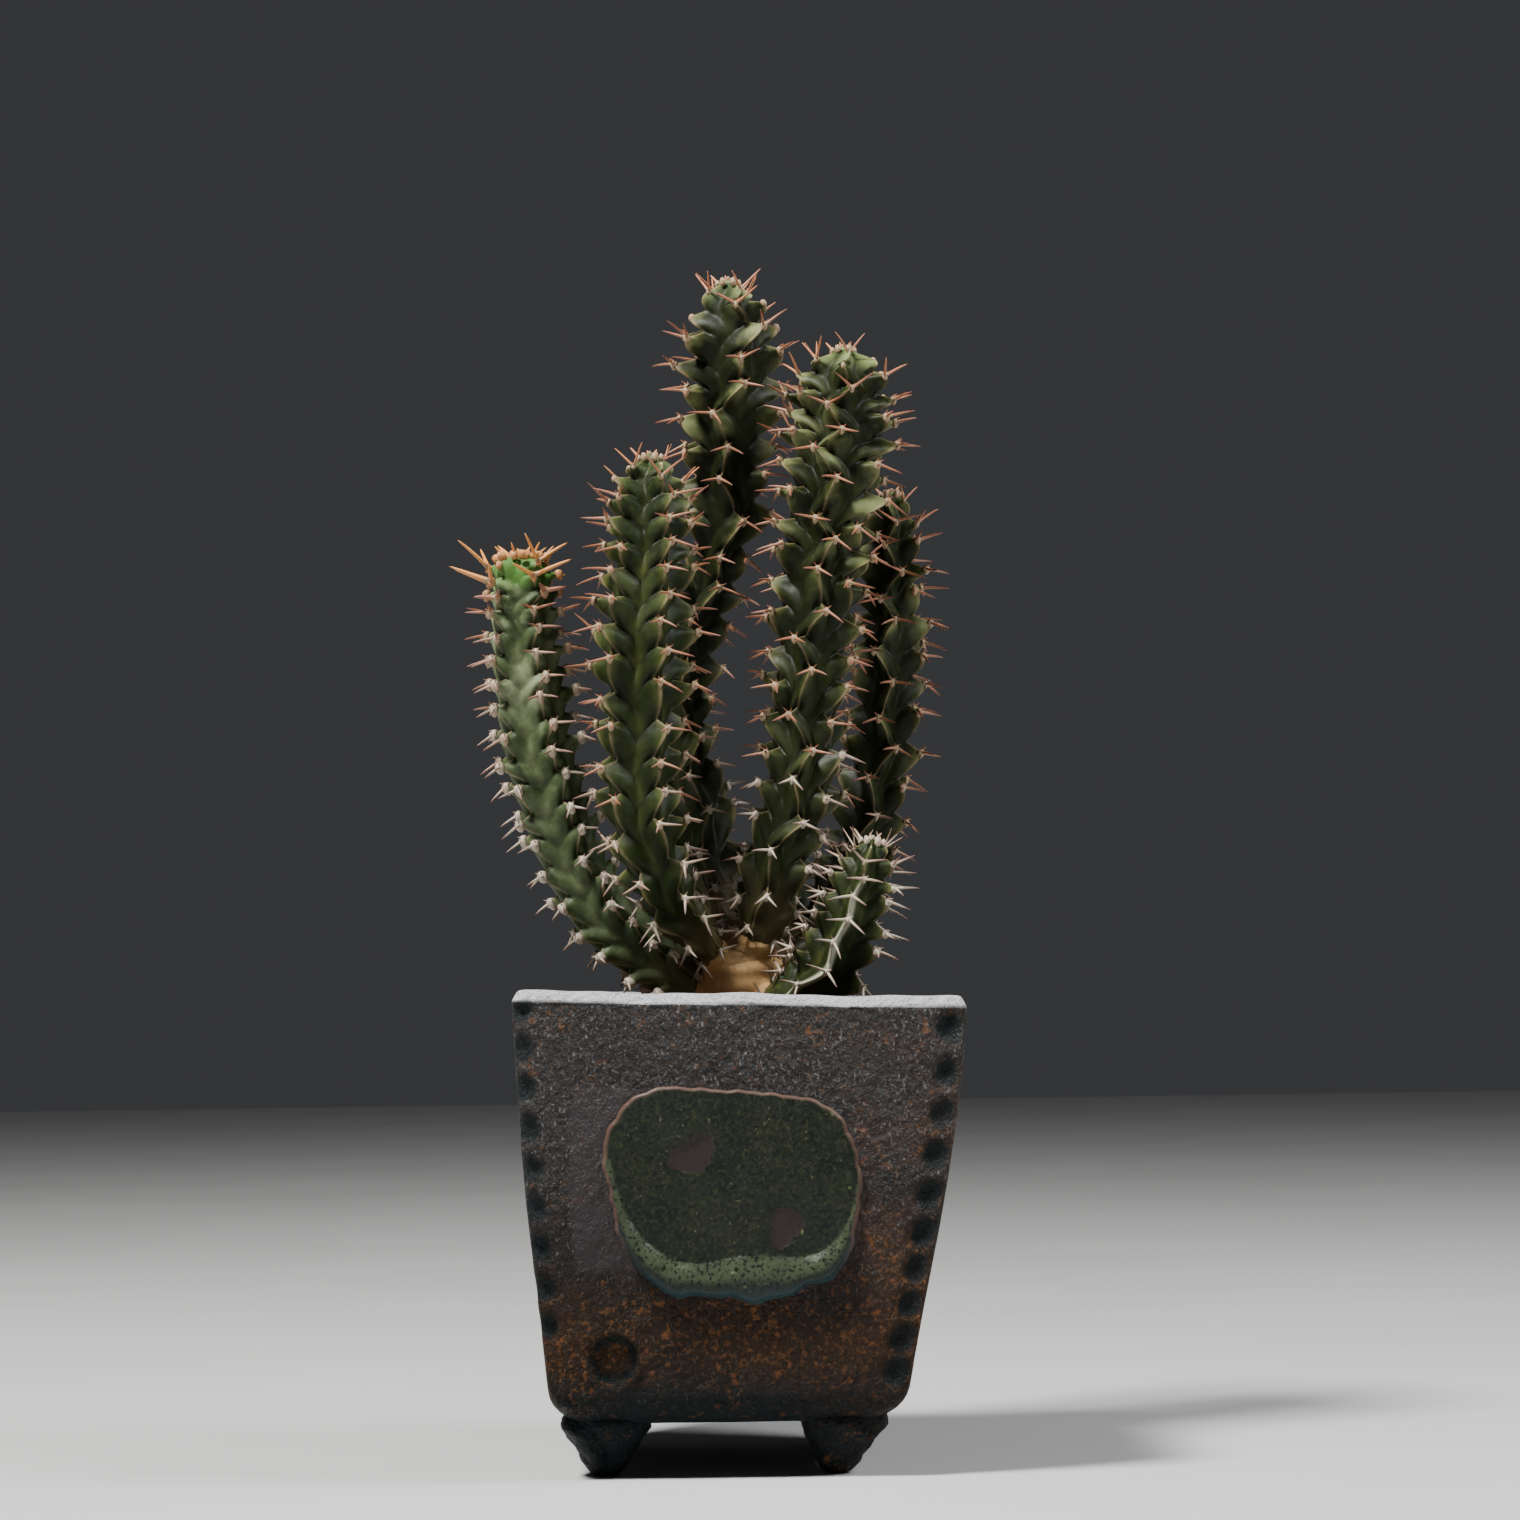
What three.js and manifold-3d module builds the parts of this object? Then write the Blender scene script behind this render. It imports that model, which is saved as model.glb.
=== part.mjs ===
// A many-stemmed spiny succulent in a square, pinched stoneware pot. Millimetres, +Z up, front towards -Y.
import * as THREE from 'three';
import { mergeVertices } from 'three/addons/utils/BufferGeometryUtils.js';
import Module from 'manifold-3d';

const wasm = await Module();
wasm.setup();

// Pot: outer half width and sideways lean of its middle at a few heights, from the rim down to the base.
const potProfile = [
  { z: 100.5, half: 46.8, lean: 0.4 },
  { z: 79, half: 45.5, lean: 0 },
  { z: 58, half: 43, lean: -1 },
  { z: 37, half: 40.1, lean: -2.1 },
  { z: 20, half: 37.5, lean: -2.7 },
  { z: 15.5, half: 36, lean: -2.8 },
  { z: 12.6, half: 32.4, lean: -3 },
  { z: 11.4, half: 27, lean: -3.4 },
];
const rimTop = 100.5;
const rimSlope = 0.027;
const rimBevelDrop = 2.4;
const rimBevelInset = 1;
const wall = 4.8;
const floorTop = 17;
const drainRadius = 6;

// Thumb dents pressed down each corner edge.
const dentCount = 10;
const dentTop = 94.6;
const dentPitch = 8.1;
const dentDepth = 1.8;
const dentHalfWidth = 4.6;
const cornerRounding = 0.5;

// Feet: middle of the ring of feet, and each foot's rings as height, radius and how far it leans inward.
const feetMiddle = { x: -3.8, y: 0 };
const footTopOffset = 24.7;
const footRings = [
  { z: 17, radius: 6.5, inward: 0 },
  { z: 12.2, radius: 9.4, inward: 0 },
  { z: 8.5, radius: 7.5, inward: 0.2 },
  { z: 4.2, radius: 5, inward: 0.7 },
  { z: 1.3, radius: 3.3, inward: 1 },
  { z: 0, radius: 2.6, inward: 1 },
];
const footSides = 12;

// Glaze pool on the front face, and the plain round dimple low on its left.
const poolMiddle = { x: -1.4, z: 60.2 };
const poolHalf = { x: 25, z: 21.6 };
const poolThickness = 0.7;
const poolLip = 1.2;
const poolSides = 26;
const dimple = { x: -26.6, z: 25.4, radius: 5.2, depth: 0.7 };

// Potting mix, and the trunk with its root crown as heights and radii.
const mixTop = 88;
const mixGap = 0.3;
const mixGrit = 0.7;
const trunkMiddle = { x: 0.7, y: -2 };
const trunkProfile = [
  { z: 64, radius: 3.6 },
  { z: 72, radius: 6 },
  { z: 82, radius: 8.2 },
  { z: 88, radius: 9.1 },
  { z: 95, radius: 8.8 },
  { z: 101, radius: 8.4 },
  { z: 106, radius: 8 },
  { z: 110, radius: 6.4 },
  { z: 112.6, radius: 3.4 },
];
const trunkFoot = 61.5;
const trunkCrown = 113.6;
const trunkSides = 14;

// Stems: points along the middle with the radius out to the teeth, then ribs, rows of teeth,
// the angle of the first rib from the front, and the slow turn of the ribs from base to tip.
const stems = [
  {
    name: 'stem_left', ribs: 5, rows: 20, firstRib: 20, turn: 8, seed: 1, color: '#7f9475',
    path: [[-6.5, -1, 102, 3.4], [-11.2, -1.5, 103.9, 5.5], [-16.4, -1.9, 106.8, 7.7], [-24, -2.6, 112.9, 8.9],
      [-30.6, -3.2, 120.3, 9.3], [-36.4, -4, 131.4, 9.4], [-40, -5, 143, 9.8], [-43.1, -6, 155.1, 10.3],
      [-44.4, -6, 166.6, 10.2], [-45.6, -6, 176.9, 9.7], [-45.7, -6, 185.6, 9.4], [-46, -6, 192.2, 7.6],
      [-46.2, -6, 196.3, 2.6]],
  },
  {
    name: 'stem_front', ribs: 5, rows: 18, firstRib: 34, turn: -6, seed: 2, color: '#6d7c55',
    path: [[-4.5, -6.2, 108.3, 3], [-7.2, -9.2, 111.4, 4.1], [-10.4, -12.8, 115.5, 5.5], [-14.8, -16.6, 122, 7.7],
      [-18, -18.6, 129.6, 9.4], [-20.4, -19.4, 139.8, 10.4], [-20.6, -18.7, 151, 10.7], [-20.2, -18, 160.7, 11],
      [-20, -17, 170.1, 12], [-19.6, -16, 178.4, 12.6], [-18.7, -15, 187.9, 11.5], [-18.3, -14, 197.6, 10.8],
      [-17.9, -13, 206.5, 9.9], [-17.5, -12, 212.8, 7.1], [-17.5, -12, 216.3, 2.6]],
  },
  {
    name: 'stem_back', ribs: 5, rows: 20, firstRib: 0, turn: 14, seed: 3, color: '#66794f',
    path: [[-0.2, 3.2, 111, 3], [-2.4, 6.6, 115.2, 4.2], [-4.7, 10, 122.4, 6.2], [-7.2, 13, 132.9, 8],
      [-9.4, 15, 144.7, 8.9], [-11.5, 16, 155.8, 8.4], [-11.8, 16, 166.9, 8.2], [-9.9, 16, 178, 8.1],
      [-6.5, 16, 188.6, 7.8], [-3.3, 15, 198, 7.9], [-1.4, 14, 206.9, 9.7], [-1.2, 13, 216.9, 10.9],
      [-0.9, 12, 225.8, 11.8], [-0.1, 11, 233.6, 12.9], [0.2, 10, 240.6, 13], [0.1, 9, 248.2, 10.8],
      [-0.2, 9, 254.2, 7.2], [-0.2, 9, 258, 2.5]],
  },
  {
    name: 'stem_centre', ribs: 6, rows: 20, firstRib: -8, turn: 10, seed: 4, color: '#5f7049',
    path: [[3.4, -4.6, 110, 3], [4.9, -5.4, 114.2, 4.6], [6.3, -6.2, 120.2, 6.6], [8.4, -7, 128.3, 8.2],
      [11.2, -7, 136.6, 9.1], [13.8, -7, 145.8, 9.8], [14.9, -6, 156.4, 10.1], [15.8, -6, 166.2, 10.2],
      [17.2, -5, 176.1, 10.5], [18.5, -5, 187, 11.4], [20, -4, 198, 12.6], [21.9, -4, 209, 13.2],
      [23.6, -3, 220.1, 13.4], [24.4, -3, 229.6, 12.6], [24.8, -3, 236.6, 9.6], [24.9, -3, 240.6, 3]],
  },
  {
    name: 'stem_right', ribs: 5, rows: 17, firstRib: 60, turn: 10, seed: 5, color: '#66764d',
    path: [[5.6, 2.6, 106.3, 3], [9.8, 5.4, 110.4, 4.3], [15, 9, 115.5, 6], [22.4, 13, 122.8, 7.9],
      [27.4, 16, 132, 8.8], [30.6, 18, 143.1, 9.1], [32.6, 19, 154.3, 9.1], [33.7, 19, 165.5, 9.1],
      [34.7, 18.5, 176.7, 9.1], [35, 18, 187.9, 8.8], [35.3, 17, 199, 8.2], [35.5, 17, 207.4, 5.9],
      [35.6, 17, 211.2, 2.4]],
  },
  {
    name: 'stem_short', ribs: 5, rows: 10, firstRib: -12, turn: 6, seed: 6, color: '#55673f',
    path: [[5.5, -6.2, 98.9, 3], [9, -9, 99, 5.3], [13.2, -11.8, 100.4, 7.5], [18, -14.2, 104, 8.9],
      [22, -16, 110.2, 9], [25, -17, 117.7, 8.4], [27.2, -17.6, 124.6, 7.3], [28.6, -17.8, 129.4, 5.4],
      [29.1, -17.8, 132.3, 2.2]],
  },
];
const notchDepth = 0.34;
const valleyDepth = 0.44;
const shieldHalf = { along: 0.85, across: 0.7 };
const spineBaseLength = 4.8;
const spineTipGain = 2;
const spineSpread = 48;
const spineClearance = 0.45;
const stubLength = 0.25;
const lowestSpine = mixTop + 1.6;

// Small shared helpers.
const rad = THREE.MathUtils.degToRad;
const vec = (x, y, z) => new THREE.Vector3(x, y, z);

// A repeatable value from 0 to 1 for a pair of whole numbers.
function chance(a, b, seed) {
  const wave = Math.sin(a * 12.9898 + b * 78.233 + seed * 37.719) * 43758.5453;
  return wave - Math.floor(wave);
}

// A value read between the rows of a profile that runs along z, in either direction.
function between(profile, z, key) {
  const rising = profile[0].z < profile[profile.length - 1].z;
  const rows = rising ? profile : [...profile].reverse();
  if (z <= rows[0].z) return rows[0][key];
  for (let i = 1; i < rows.length; i += 1) {
    if (z <= rows[i].z) {
      const share = (z - rows[i - 1].z) / (rows[i].z - rows[i - 1].z);
      return rows[i - 1][key] + share * (rows[i][key] - rows[i - 1][key]);
    }
  }
  return rows[rows.length - 1][key];
}

function geometryOf(points, faces) {
  const geometry = new THREE.BufferGeometry();
  geometry.setAttribute('position', new THREE.Float32BufferAttribute(points.flatMap((p) => [p.x, p.y, p.z]), 3));
  geometry.setIndex(faces);
  return geometry;
}

// Rings of equal point count joined into a skin; the ends close on a pole point, or the skin closes on itself.
function skin(rings, poles) {
  const around = rings[0].length;
  const points = rings.flat();
  const faces = [];
  const last = rings.length - 1;
  for (let j = 0; j < (poles ? last : last + 1); j += 1) {
    const upper = (j + 1) % rings.length;
    for (let i = 0; i < around; i += 1) {
      const next = (i + 1) % around;
      const [a, b] = [j * around + i, j * around + next];
      const [c, d] = [upper * around + next, upper * around + i];
      faces.push(a, b, c, a, c, d);
    }
  }
  if (poles) {
    points.push(poles[0], poles[1]);
    for (let i = 0; i < around; i += 1) {
      const next = (i + 1) % around;
      faces.push(points.length - 2, next, i);
      faces.push(points.length - 1, last * around + i, last * around + next);
    }
  }
  return geometryOf(points, faces);
}

function solidOf(geometry) {
  const bare = geometry.index ? geometry : mergeVertices(geometry);
  return new wasm.Manifold(new wasm.Mesh({
    numProp: 3,
    vertProperties: new Float32Array(bare.attributes.position.array),
    triVerts: new Uint32Array(bare.index.array),
  }));
}

function geometryFrom(solid) {
  const mesh = solid.getMesh();
  const geometry = new THREE.BufferGeometry();
  geometry.setAttribute('position', new THREE.BufferAttribute(new Float32Array(mesh.vertProperties), 3));
  geometry.setIndex(new THREE.BufferAttribute(new Uint32Array(mesh.triVerts), 1));
  return geometry;
}

function named(name, geometry, color, roughness) {
  const mesh = new THREE.Mesh(geometry, new THREE.MeshStandardMaterial({ color, roughness, metalness: 0 }));
  mesh.name = name;
  return mesh;
}

// Points round a square ring: each corner, a point either side of it, and two along each side.
const sideSteps = [-1, 'near', -0.36, 0.36, 'far'];

function squareRing(half, lean, z, options = {}) {
  const { pinch = 0, rounding = cornerRounding, slope = 0, wave = 0, row = 0 } = options;
  const ring = [];
  for (let side = 0; side < 4; side += 1) {
    const turn = side * Math.PI / 2;
    for (let k = 0; k < sideSteps.length; k += 1) {
      let along = sideSteps[k];
      if (along === 'near') along = -1 + dentHalfWidth / half;
      if (along === 'far') along = 1 - dentHalfWidth / half;
      const corner = k === 0;
      const inset = corner ? pinch + rounding : pinch * 0.12;
      const bow = corner ? 0 : wave * (chance(side, k, row) - 0.5);
      const across = -half + (corner ? inset : inset - bow);
      const run = corner ? -half + inset : along * half;
      const x = run * Math.cos(turn) - across * Math.sin(turn) + lean;
      const y = run * Math.sin(turn) + across * Math.cos(turn);
      ring.push(vec(x, y, z - slope * x));
    }
  }
  return ring;
}

function roundRing(like, radius, middle, z) {
  return like.map((p) => {
    const angle = Math.atan2(p.y - middle.y, p.x - middle.x);
    return vec(middle.x + radius * Math.cos(angle), middle.y + radius * Math.sin(angle), z);
  });
}

function outerHalf(z) {
  return between(potProfile, z, 'half');
}

function leanAt(z) {
  return between(potProfile, z, 'lean');
}

// Inner faces of the pot, which the potting mix follows inside its gap.
const innerHeights = [96, 79, 58, 37, 24];

function innerRing(z, gap) {
  return squareRing(outerHalf(z) - wall - gap, leanAt(z), z, { rounding: 2.6 });
}

function makePot() {
  const slopeAt = (z) => rimSlope * THREE.MathUtils.smoothstep(z, 30, rimTop);
  const rings = [];
  const base = squareRing(outerHalf(11.4), leanAt(11.4), 11.4, { rounding: 6 });
  rings.push(roundRing(base, drainRadius + 0.4, { x: leanAt(11.4), y: 0 }, 11.3));
  rings.push(base);
  rings.push(squareRing(outerHalf(12.6), leanAt(12.6), 12.6, { rounding: 5 }));
  rings.push(squareRing(outerHalf(15.5), leanAt(15.5), 15.5, { rounding: 3.4 }));
  for (let k = dentCount - 1; k >= 0; k -= 1) {
    const z = dentTop - k * dentPitch;
    const grip = dentDepth * (0.85 + 0.3 * chance(k, 3, 1));
    rings.push(squareRing(outerHalf(z), leanAt(z), z, { pinch: grip, slope: slopeAt(z), wave: 0.5, row: k }));
    if (k > 0) {
      const ridge = z + dentPitch / 2;
      rings.push(squareRing(outerHalf(ridge), leanAt(ridge), ridge, { slope: slopeAt(ridge), wave: 0.5, row: k + 20 }));
    }
  }
  const bevelLow = rimTop - rimBevelDrop;
  rings.push(squareRing(outerHalf(bevelLow), leanAt(bevelLow), bevelLow, { slope: rimSlope, rounding: 0.7 }));
  const bevelHigh = outerHalf(rimTop) - rimBevelInset;
  rings.push(squareRing(bevelHigh, leanAt(rimTop), rimTop, { slope: rimSlope, rounding: 0.9 }));
  rings.push(squareRing(outerHalf(rimTop) - wall + 0.8, leanAt(rimTop), rimTop - 0.3, { slope: rimSlope, rounding: 2 }));
  for (const z of innerHeights) rings.push(innerRing(z, 0));
  rings.push(squareRing(outerHalf(24) - wall - 3, leanAt(18), floorTop + 1.2, { rounding: 3.6 }));
  const bowl = squareRing(outerHalf(24) - wall - 8, leanAt(18), floorTop, { rounding: 5 });
  rings.push(bowl);
  rings.push(roundRing(bowl, drainRadius, { x: leanAt(11.4), y: 0 }, floorTop - 0.6));
  let pot = solidOf(skin(rings, null));
  for (const sx of [-1, 1]) {
    for (const sy of [-1, 1]) pot = pot.add(makeFoot(sx, sy));
  }
  pot = pot.add(makePool());
  pot = pot.subtract(makeDimple());
  return geometryFrom(pot);
}

// One foot: a short tapered lump of clay, folded over on its outer side and stood on a small flat.
function makeFoot(sx, sy) {
  const rings = footRings.map((row, j) => {
    const ring = [];
    for (let i = 0; i < footSides; i += 1) {
      const angle = (i / footSides) * 2 * Math.PI;
      const fold = 1 + (j < 4 ? 0.07 : 0.02) * Math.cos(3 * angle + sx + 2 * sy);
      const middleX = feetMiddle.x + sx * footTopOffset - sx * row.inward * 0.4 - 0.9 * row.inward;
      const middleY = feetMiddle.y + sy * (footTopOffset - row.inward);
      ring.push(vec(
        middleX + row.radius * fold * Math.cos(angle),
        middleY + row.radius * fold * Math.sin(angle),
        row.z,
      ));
    }
    return ring;
  }).reverse();
  const ends = [rings[0], rings[rings.length - 1]].map((ring) => {
    const sum = ring.reduce((total, p) => total.add(p), vec(0, 0, 0));
    return sum.divideScalar(ring.length);
  });
  return solidOf(skin(rings, ends));
}

// A point on the sloping front face, raised by a height off it.
function onFront(x, z, height) {
  return vec(x, -outerHalf(z) - height, z);
}

// Outline of the poured glaze: a slumped round with a flatter left side.
function poolReach(angle) {
  const wave = 1 + 0.045 * Math.cos(2 * angle + 0.9) + 0.035 * Math.sin(3 * angle + 0.4);
  const square = (Math.abs(Math.cos(angle)) ** 3 + Math.abs(Math.sin(angle)) ** 3) ** (-1 / 3);
  return wave * square;
}

function makePool() {
  const shares = [[1.02, -1.6], [1.0, 0.35], [0.93, 1], [0.8, 0.85], [0.45, 0.7]];
  const rings = shares.map(([share, height]) => {
    const ring = [];
    for (let i = 0; i < poolSides; i += 1) {
      const angle = (i / poolSides) * 2 * Math.PI;
      const reach = poolReach(angle) * share;
      const low = THREE.MathUtils.smoothstep(-Math.sin(angle) * share, 0.45, 0.95);
      const lift = height < 0 ? height : height * (poolThickness + (share > 0.7 ? poolLip * low : 0));
      ring.push(onFront(poolMiddle.x + poolHalf.x * reach * Math.cos(angle),
        poolMiddle.z + poolHalf.z * reach * Math.sin(angle), lift));
    }
    return ring;
  });
  const back = onFront(poolMiddle.x, poolMiddle.z, -1.6);
  const front = onFront(poolMiddle.x, poolMiddle.z, 0.7 * poolThickness);
  return solidOf(skin(rings, [back, front]));
}

function makeDimple() {
  const rings = [[1.05, 1.5], [1, 0], [0.8, -dimple.depth]].map(([share, height]) => {
    const ring = [];
    for (let i = 0; i < 14; i += 1) {
      const angle = (i / 14) * 2 * Math.PI;
      ring.push(onFront(dimple.x + dimple.radius * share * Math.cos(angle),
        dimple.z + dimple.radius * share * Math.sin(angle), height));
    }
    return ring.reverse();
  });
  return solidOf(skin(rings, [onFront(dimple.x, dimple.z, 1.5), onFront(dimple.x, dimple.z, -dimple.depth)]));
}

function trunkRadius(z) {
  return between(trunkProfile, z, 'radius');
}

// The potting mix fills the pot inside its gap, rough on top, with one plain hole for the trunk.
function makeMix() {
  const bottom = floorTop + 1.2 + mixGap;
  const rings = [squareRing(outerHalf(24) - wall - 3.6, leanAt(18), bottom + 0.3, { rounding: 3.6 })];
  for (const z of [...innerHeights].reverse().filter((height) => height < mixTop)) rings.push(innerRing(z, mixGap));
  rings.push(innerRing(mixTop, mixGap));
  const top = rings[rings.length - 1];
  [0.82, 0.62, 0.42].forEach((share, row) => {
    rings.push(top.map((p, i) => vec(
      trunkMiddle.x + (p.x - trunkMiddle.x) * share,
      trunkMiddle.y + (p.y - trunkMiddle.y) * share,
      mixTop + mixGrit * (chance(i, row, 9) - 0.3),
    )));
  });
  for (const z of [mixTop, 82, 72, 64]) rings.push(roundRing(top, trunkRadius(z) + mixGap + 0.35, trunkMiddle, z));
  const poles = [vec(leanAt(18), 0, bottom + 0.3), vec(trunkMiddle.x, trunkMiddle.y, trunkFoot - mixGap - 0.4)];
  return skin(rings, poles);
}

// A smooth curve through a stem's points, as a table of places, radii and run along the stem.
function followPath(path) {
  const steps = 24;
  const table = [];
  const at = (i) => path[Math.min(Math.max(i, 0), path.length - 1)];
  for (let i = 0; i < path.length - 1; i += 1) {
    for (let j = 0; j < steps + (i === path.length - 2 ? 1 : 0); j += 1) {
      const t = j / steps;
      const row = [0, 1, 2, 3].map((k) => {
        const [a, b, c, d] = [at(i - 1)[k], at(i)[k], at(i + 1)[k], at(i + 2)[k]];
        return 0.5 * (2 * b + (c - a) * t + (2 * a - 5 * b + 4 * c - d) * t * t + (3 * b - a - 3 * c + d) * t ** 3);
      });
      const place = vec(row[0], row[1], row[2]);
      const run = table.length ? table[table.length - 1].run + place.distanceTo(table[table.length - 1].place) : 0;
      table.push({ place, radius: row[3], run });
    }
  }
  return table;
}

function onPath(table, run) {
  const length = table[table.length - 1].run;
  const wanted = Math.min(Math.max(run, 0), length);
  let i = 1;
  while (i < table.length - 1 && table[i].run < wanted) i += 1;
  const [a, b] = [table[i - 1], table[i]];
  const share = (wanted - a.run) / (b.run - a.run);
  const [far, near] = [table[Math.min(i + 6, table.length - 1)], table[Math.max(i - 7, 0)]];
  const along = far.place.clone().sub(near.place).normalize();
  const front = vec(0, -1, 0);
  front.addScaledVector(along, -front.dot(along)).normalize();
  return {
    place: a.place.clone().lerp(b.place, share),
    radius: a.radius + share * (b.radius - a.radius),
    fall: (near.radius - far.radius) / (far.run - near.run),
    along,
    front,
    right: along.clone().cross(front),
  };
}

// A point on a stem at a run and angle, at a share of the radius out to the teeth.
function stemPoint(table, run, angle, share) {
  const here = onPath(table, run);
  const out = here.front.clone().multiplyScalar(Math.cos(angle)).addScaledVector(here.right, Math.sin(angle));
  return { point: here.place.clone().addScaledVector(out, here.radius * share), out, here };
}

// Height of each tooth row along a stem, closer together near the tip.
function rowRun(stem, length, row) {
  const share = row / stem.rows;
  return length * (1.18 * share - 0.18 * share ** 4);
}

// Neighbouring ribs carry their teeth at different heights, as leaves climb a stem in a spiral.
function ribPhase(stem, rib) {
  if (stem.ribs === 6) return rib % 2 === 0 ? 0.25 : -0.25;
  return [0, 0.4, -0.2, 0.2, -0.4][rib];
}

function ribAngle(stem, rib, run, length) {
  return rad(stem.firstRib + rib * (360 / stem.ribs) + stem.turn * (run / length));
}

// Places of the teeth of a stem, each with its two spines before they are set clear of their neighbours.
function layTeeth(stem, table) {
  const length = table[table.length - 1].run;
  const teeth = [];
  for (let rib = 0; rib < stem.ribs; rib += 1) {
    for (let row = 0; row < stem.rows; row += 1) {
      const wander = 0.22 * (chance(rib, row, stem.seed) - 0.5);
      const run = rowRun(stem, length, row + 0.55 + 0.45 * ribPhase(stem, rib) + wander);
      const gap = rowRun(stem, length, row + 1) - rowRun(stem, length, row);
      const angle = ribAngle(stem, rib, run, length) + rad(7) * (chance(row, rib, stem.seed + 10) - 0.5);
      const reach = 1 + 0.1 * (chance(rib, row, stem.seed + 20) - 0.6);
      const { point, out, here } = stemPoint(table, run, angle, reach);
      teeth.push({ rib, row, run, gap, angle, reach, point, out, here, length });
    }
  }
  return teeth;
}

function spineDirection(tooth, side, lift, spread) {
  const outward = tooth.out.clone().addScaledVector(tooth.here.along, Math.min(tooth.here.fall, 2.2)).normalize();
  const across = tooth.here.along.clone().cross(tooth.out).normalize();
  const direction = outward.multiplyScalar(Math.cos(rad(spread)));
  direction.addScaledVector(across, side * Math.sin(rad(spread)));
  return direction.addScaledVector(tooth.here.along, lift).normalize();
}

function segmentGap(a, b, c, d) {
  let least = Infinity;
  for (let i = 0; i <= 6; i += 1) {
    const p = a.clone().lerp(b, i / 6);
    const q = new THREE.Line3(c, d).closestPointToPoint(p, true, vec(0, 0, 0));
    least = Math.min(least, p.distanceTo(q));
  }
  return least;
}

function isClear(from, to, stem, spines) {
  if (to.z < lowestSpine) return false;
  const fromTrunk = Math.hypot(to.x - trunkMiddle.x, to.y - trunkMiddle.y);
  if (to.z < trunkCrown + 1 && fromTrunk < trunkRadius(to.z) + 1.5) return false;
  for (const other of stems) {
    if (other === stem) continue;
    for (let i = 0; i < other.table.length; i += 4) {
      const ball = other.table[i];
      for (let k = 2; k <= 4; k += 1) {
        const p = from.clone().lerp(to, k / 4);
        if (p.distanceTo(ball.place) < ball.radius + 0.9) return false;
      }
    }
  }
  for (const spine of spines) {
    if (spine.from.distanceTo(from) > 18 || (spine.stem === stem && spine.from.distanceTo(from) < 0.1)) continue;
    if (segmentGap(from, to, spine.from, spine.to) < spineClearance) return false;
  }
  return true;
}

// Each spine takes the first of a few tilts and lengths that keeps it clear of what stands around it.
function setSpines(stem, tooth, spines) {
  const share = tooth.run / tooth.length;
  return [-1, 1].map((side) => {
    const draw = chance(tooth.rib * 40 + tooth.row, side, stem.seed + 30);
    const young = Math.min(1, tooth.here.radius / 6);
    const length = (spineBaseLength + spineTipGain * share + 1.8 * (draw - 0.5)) * (0.72 + 0.28 * young);
    const spread = spineSpread + 16 * (chance(tooth.row, tooth.rib, stem.seed + 40 + side) - 0.5);
    const lift = 0.12 + 0.3 * (chance(tooth.row, side, stem.seed + 50 + tooth.rib) - 0.5);
    for (const scale of [1, 0.75, 0.5, 0.3]) {
      for (const bend of [0, 0.35, -0.35, 0.75, -0.75, 1.3]) {
        const direction = spineDirection(tooth, side, lift + bend, spread - 20 * Math.abs(bend));
        const to = tooth.point.clone().addScaledVector(direction, length * scale);
        if (isClear(tooth.point, to, stem, spines)) {
          spines.push({ from: tooth.point, to, stem });
          return to;
        }
      }
    }
    const stub = tooth.point.clone().addScaledVector(spineDirection(tooth, side, lift, 30), stubLength);
    return stub;
  });
}

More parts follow.
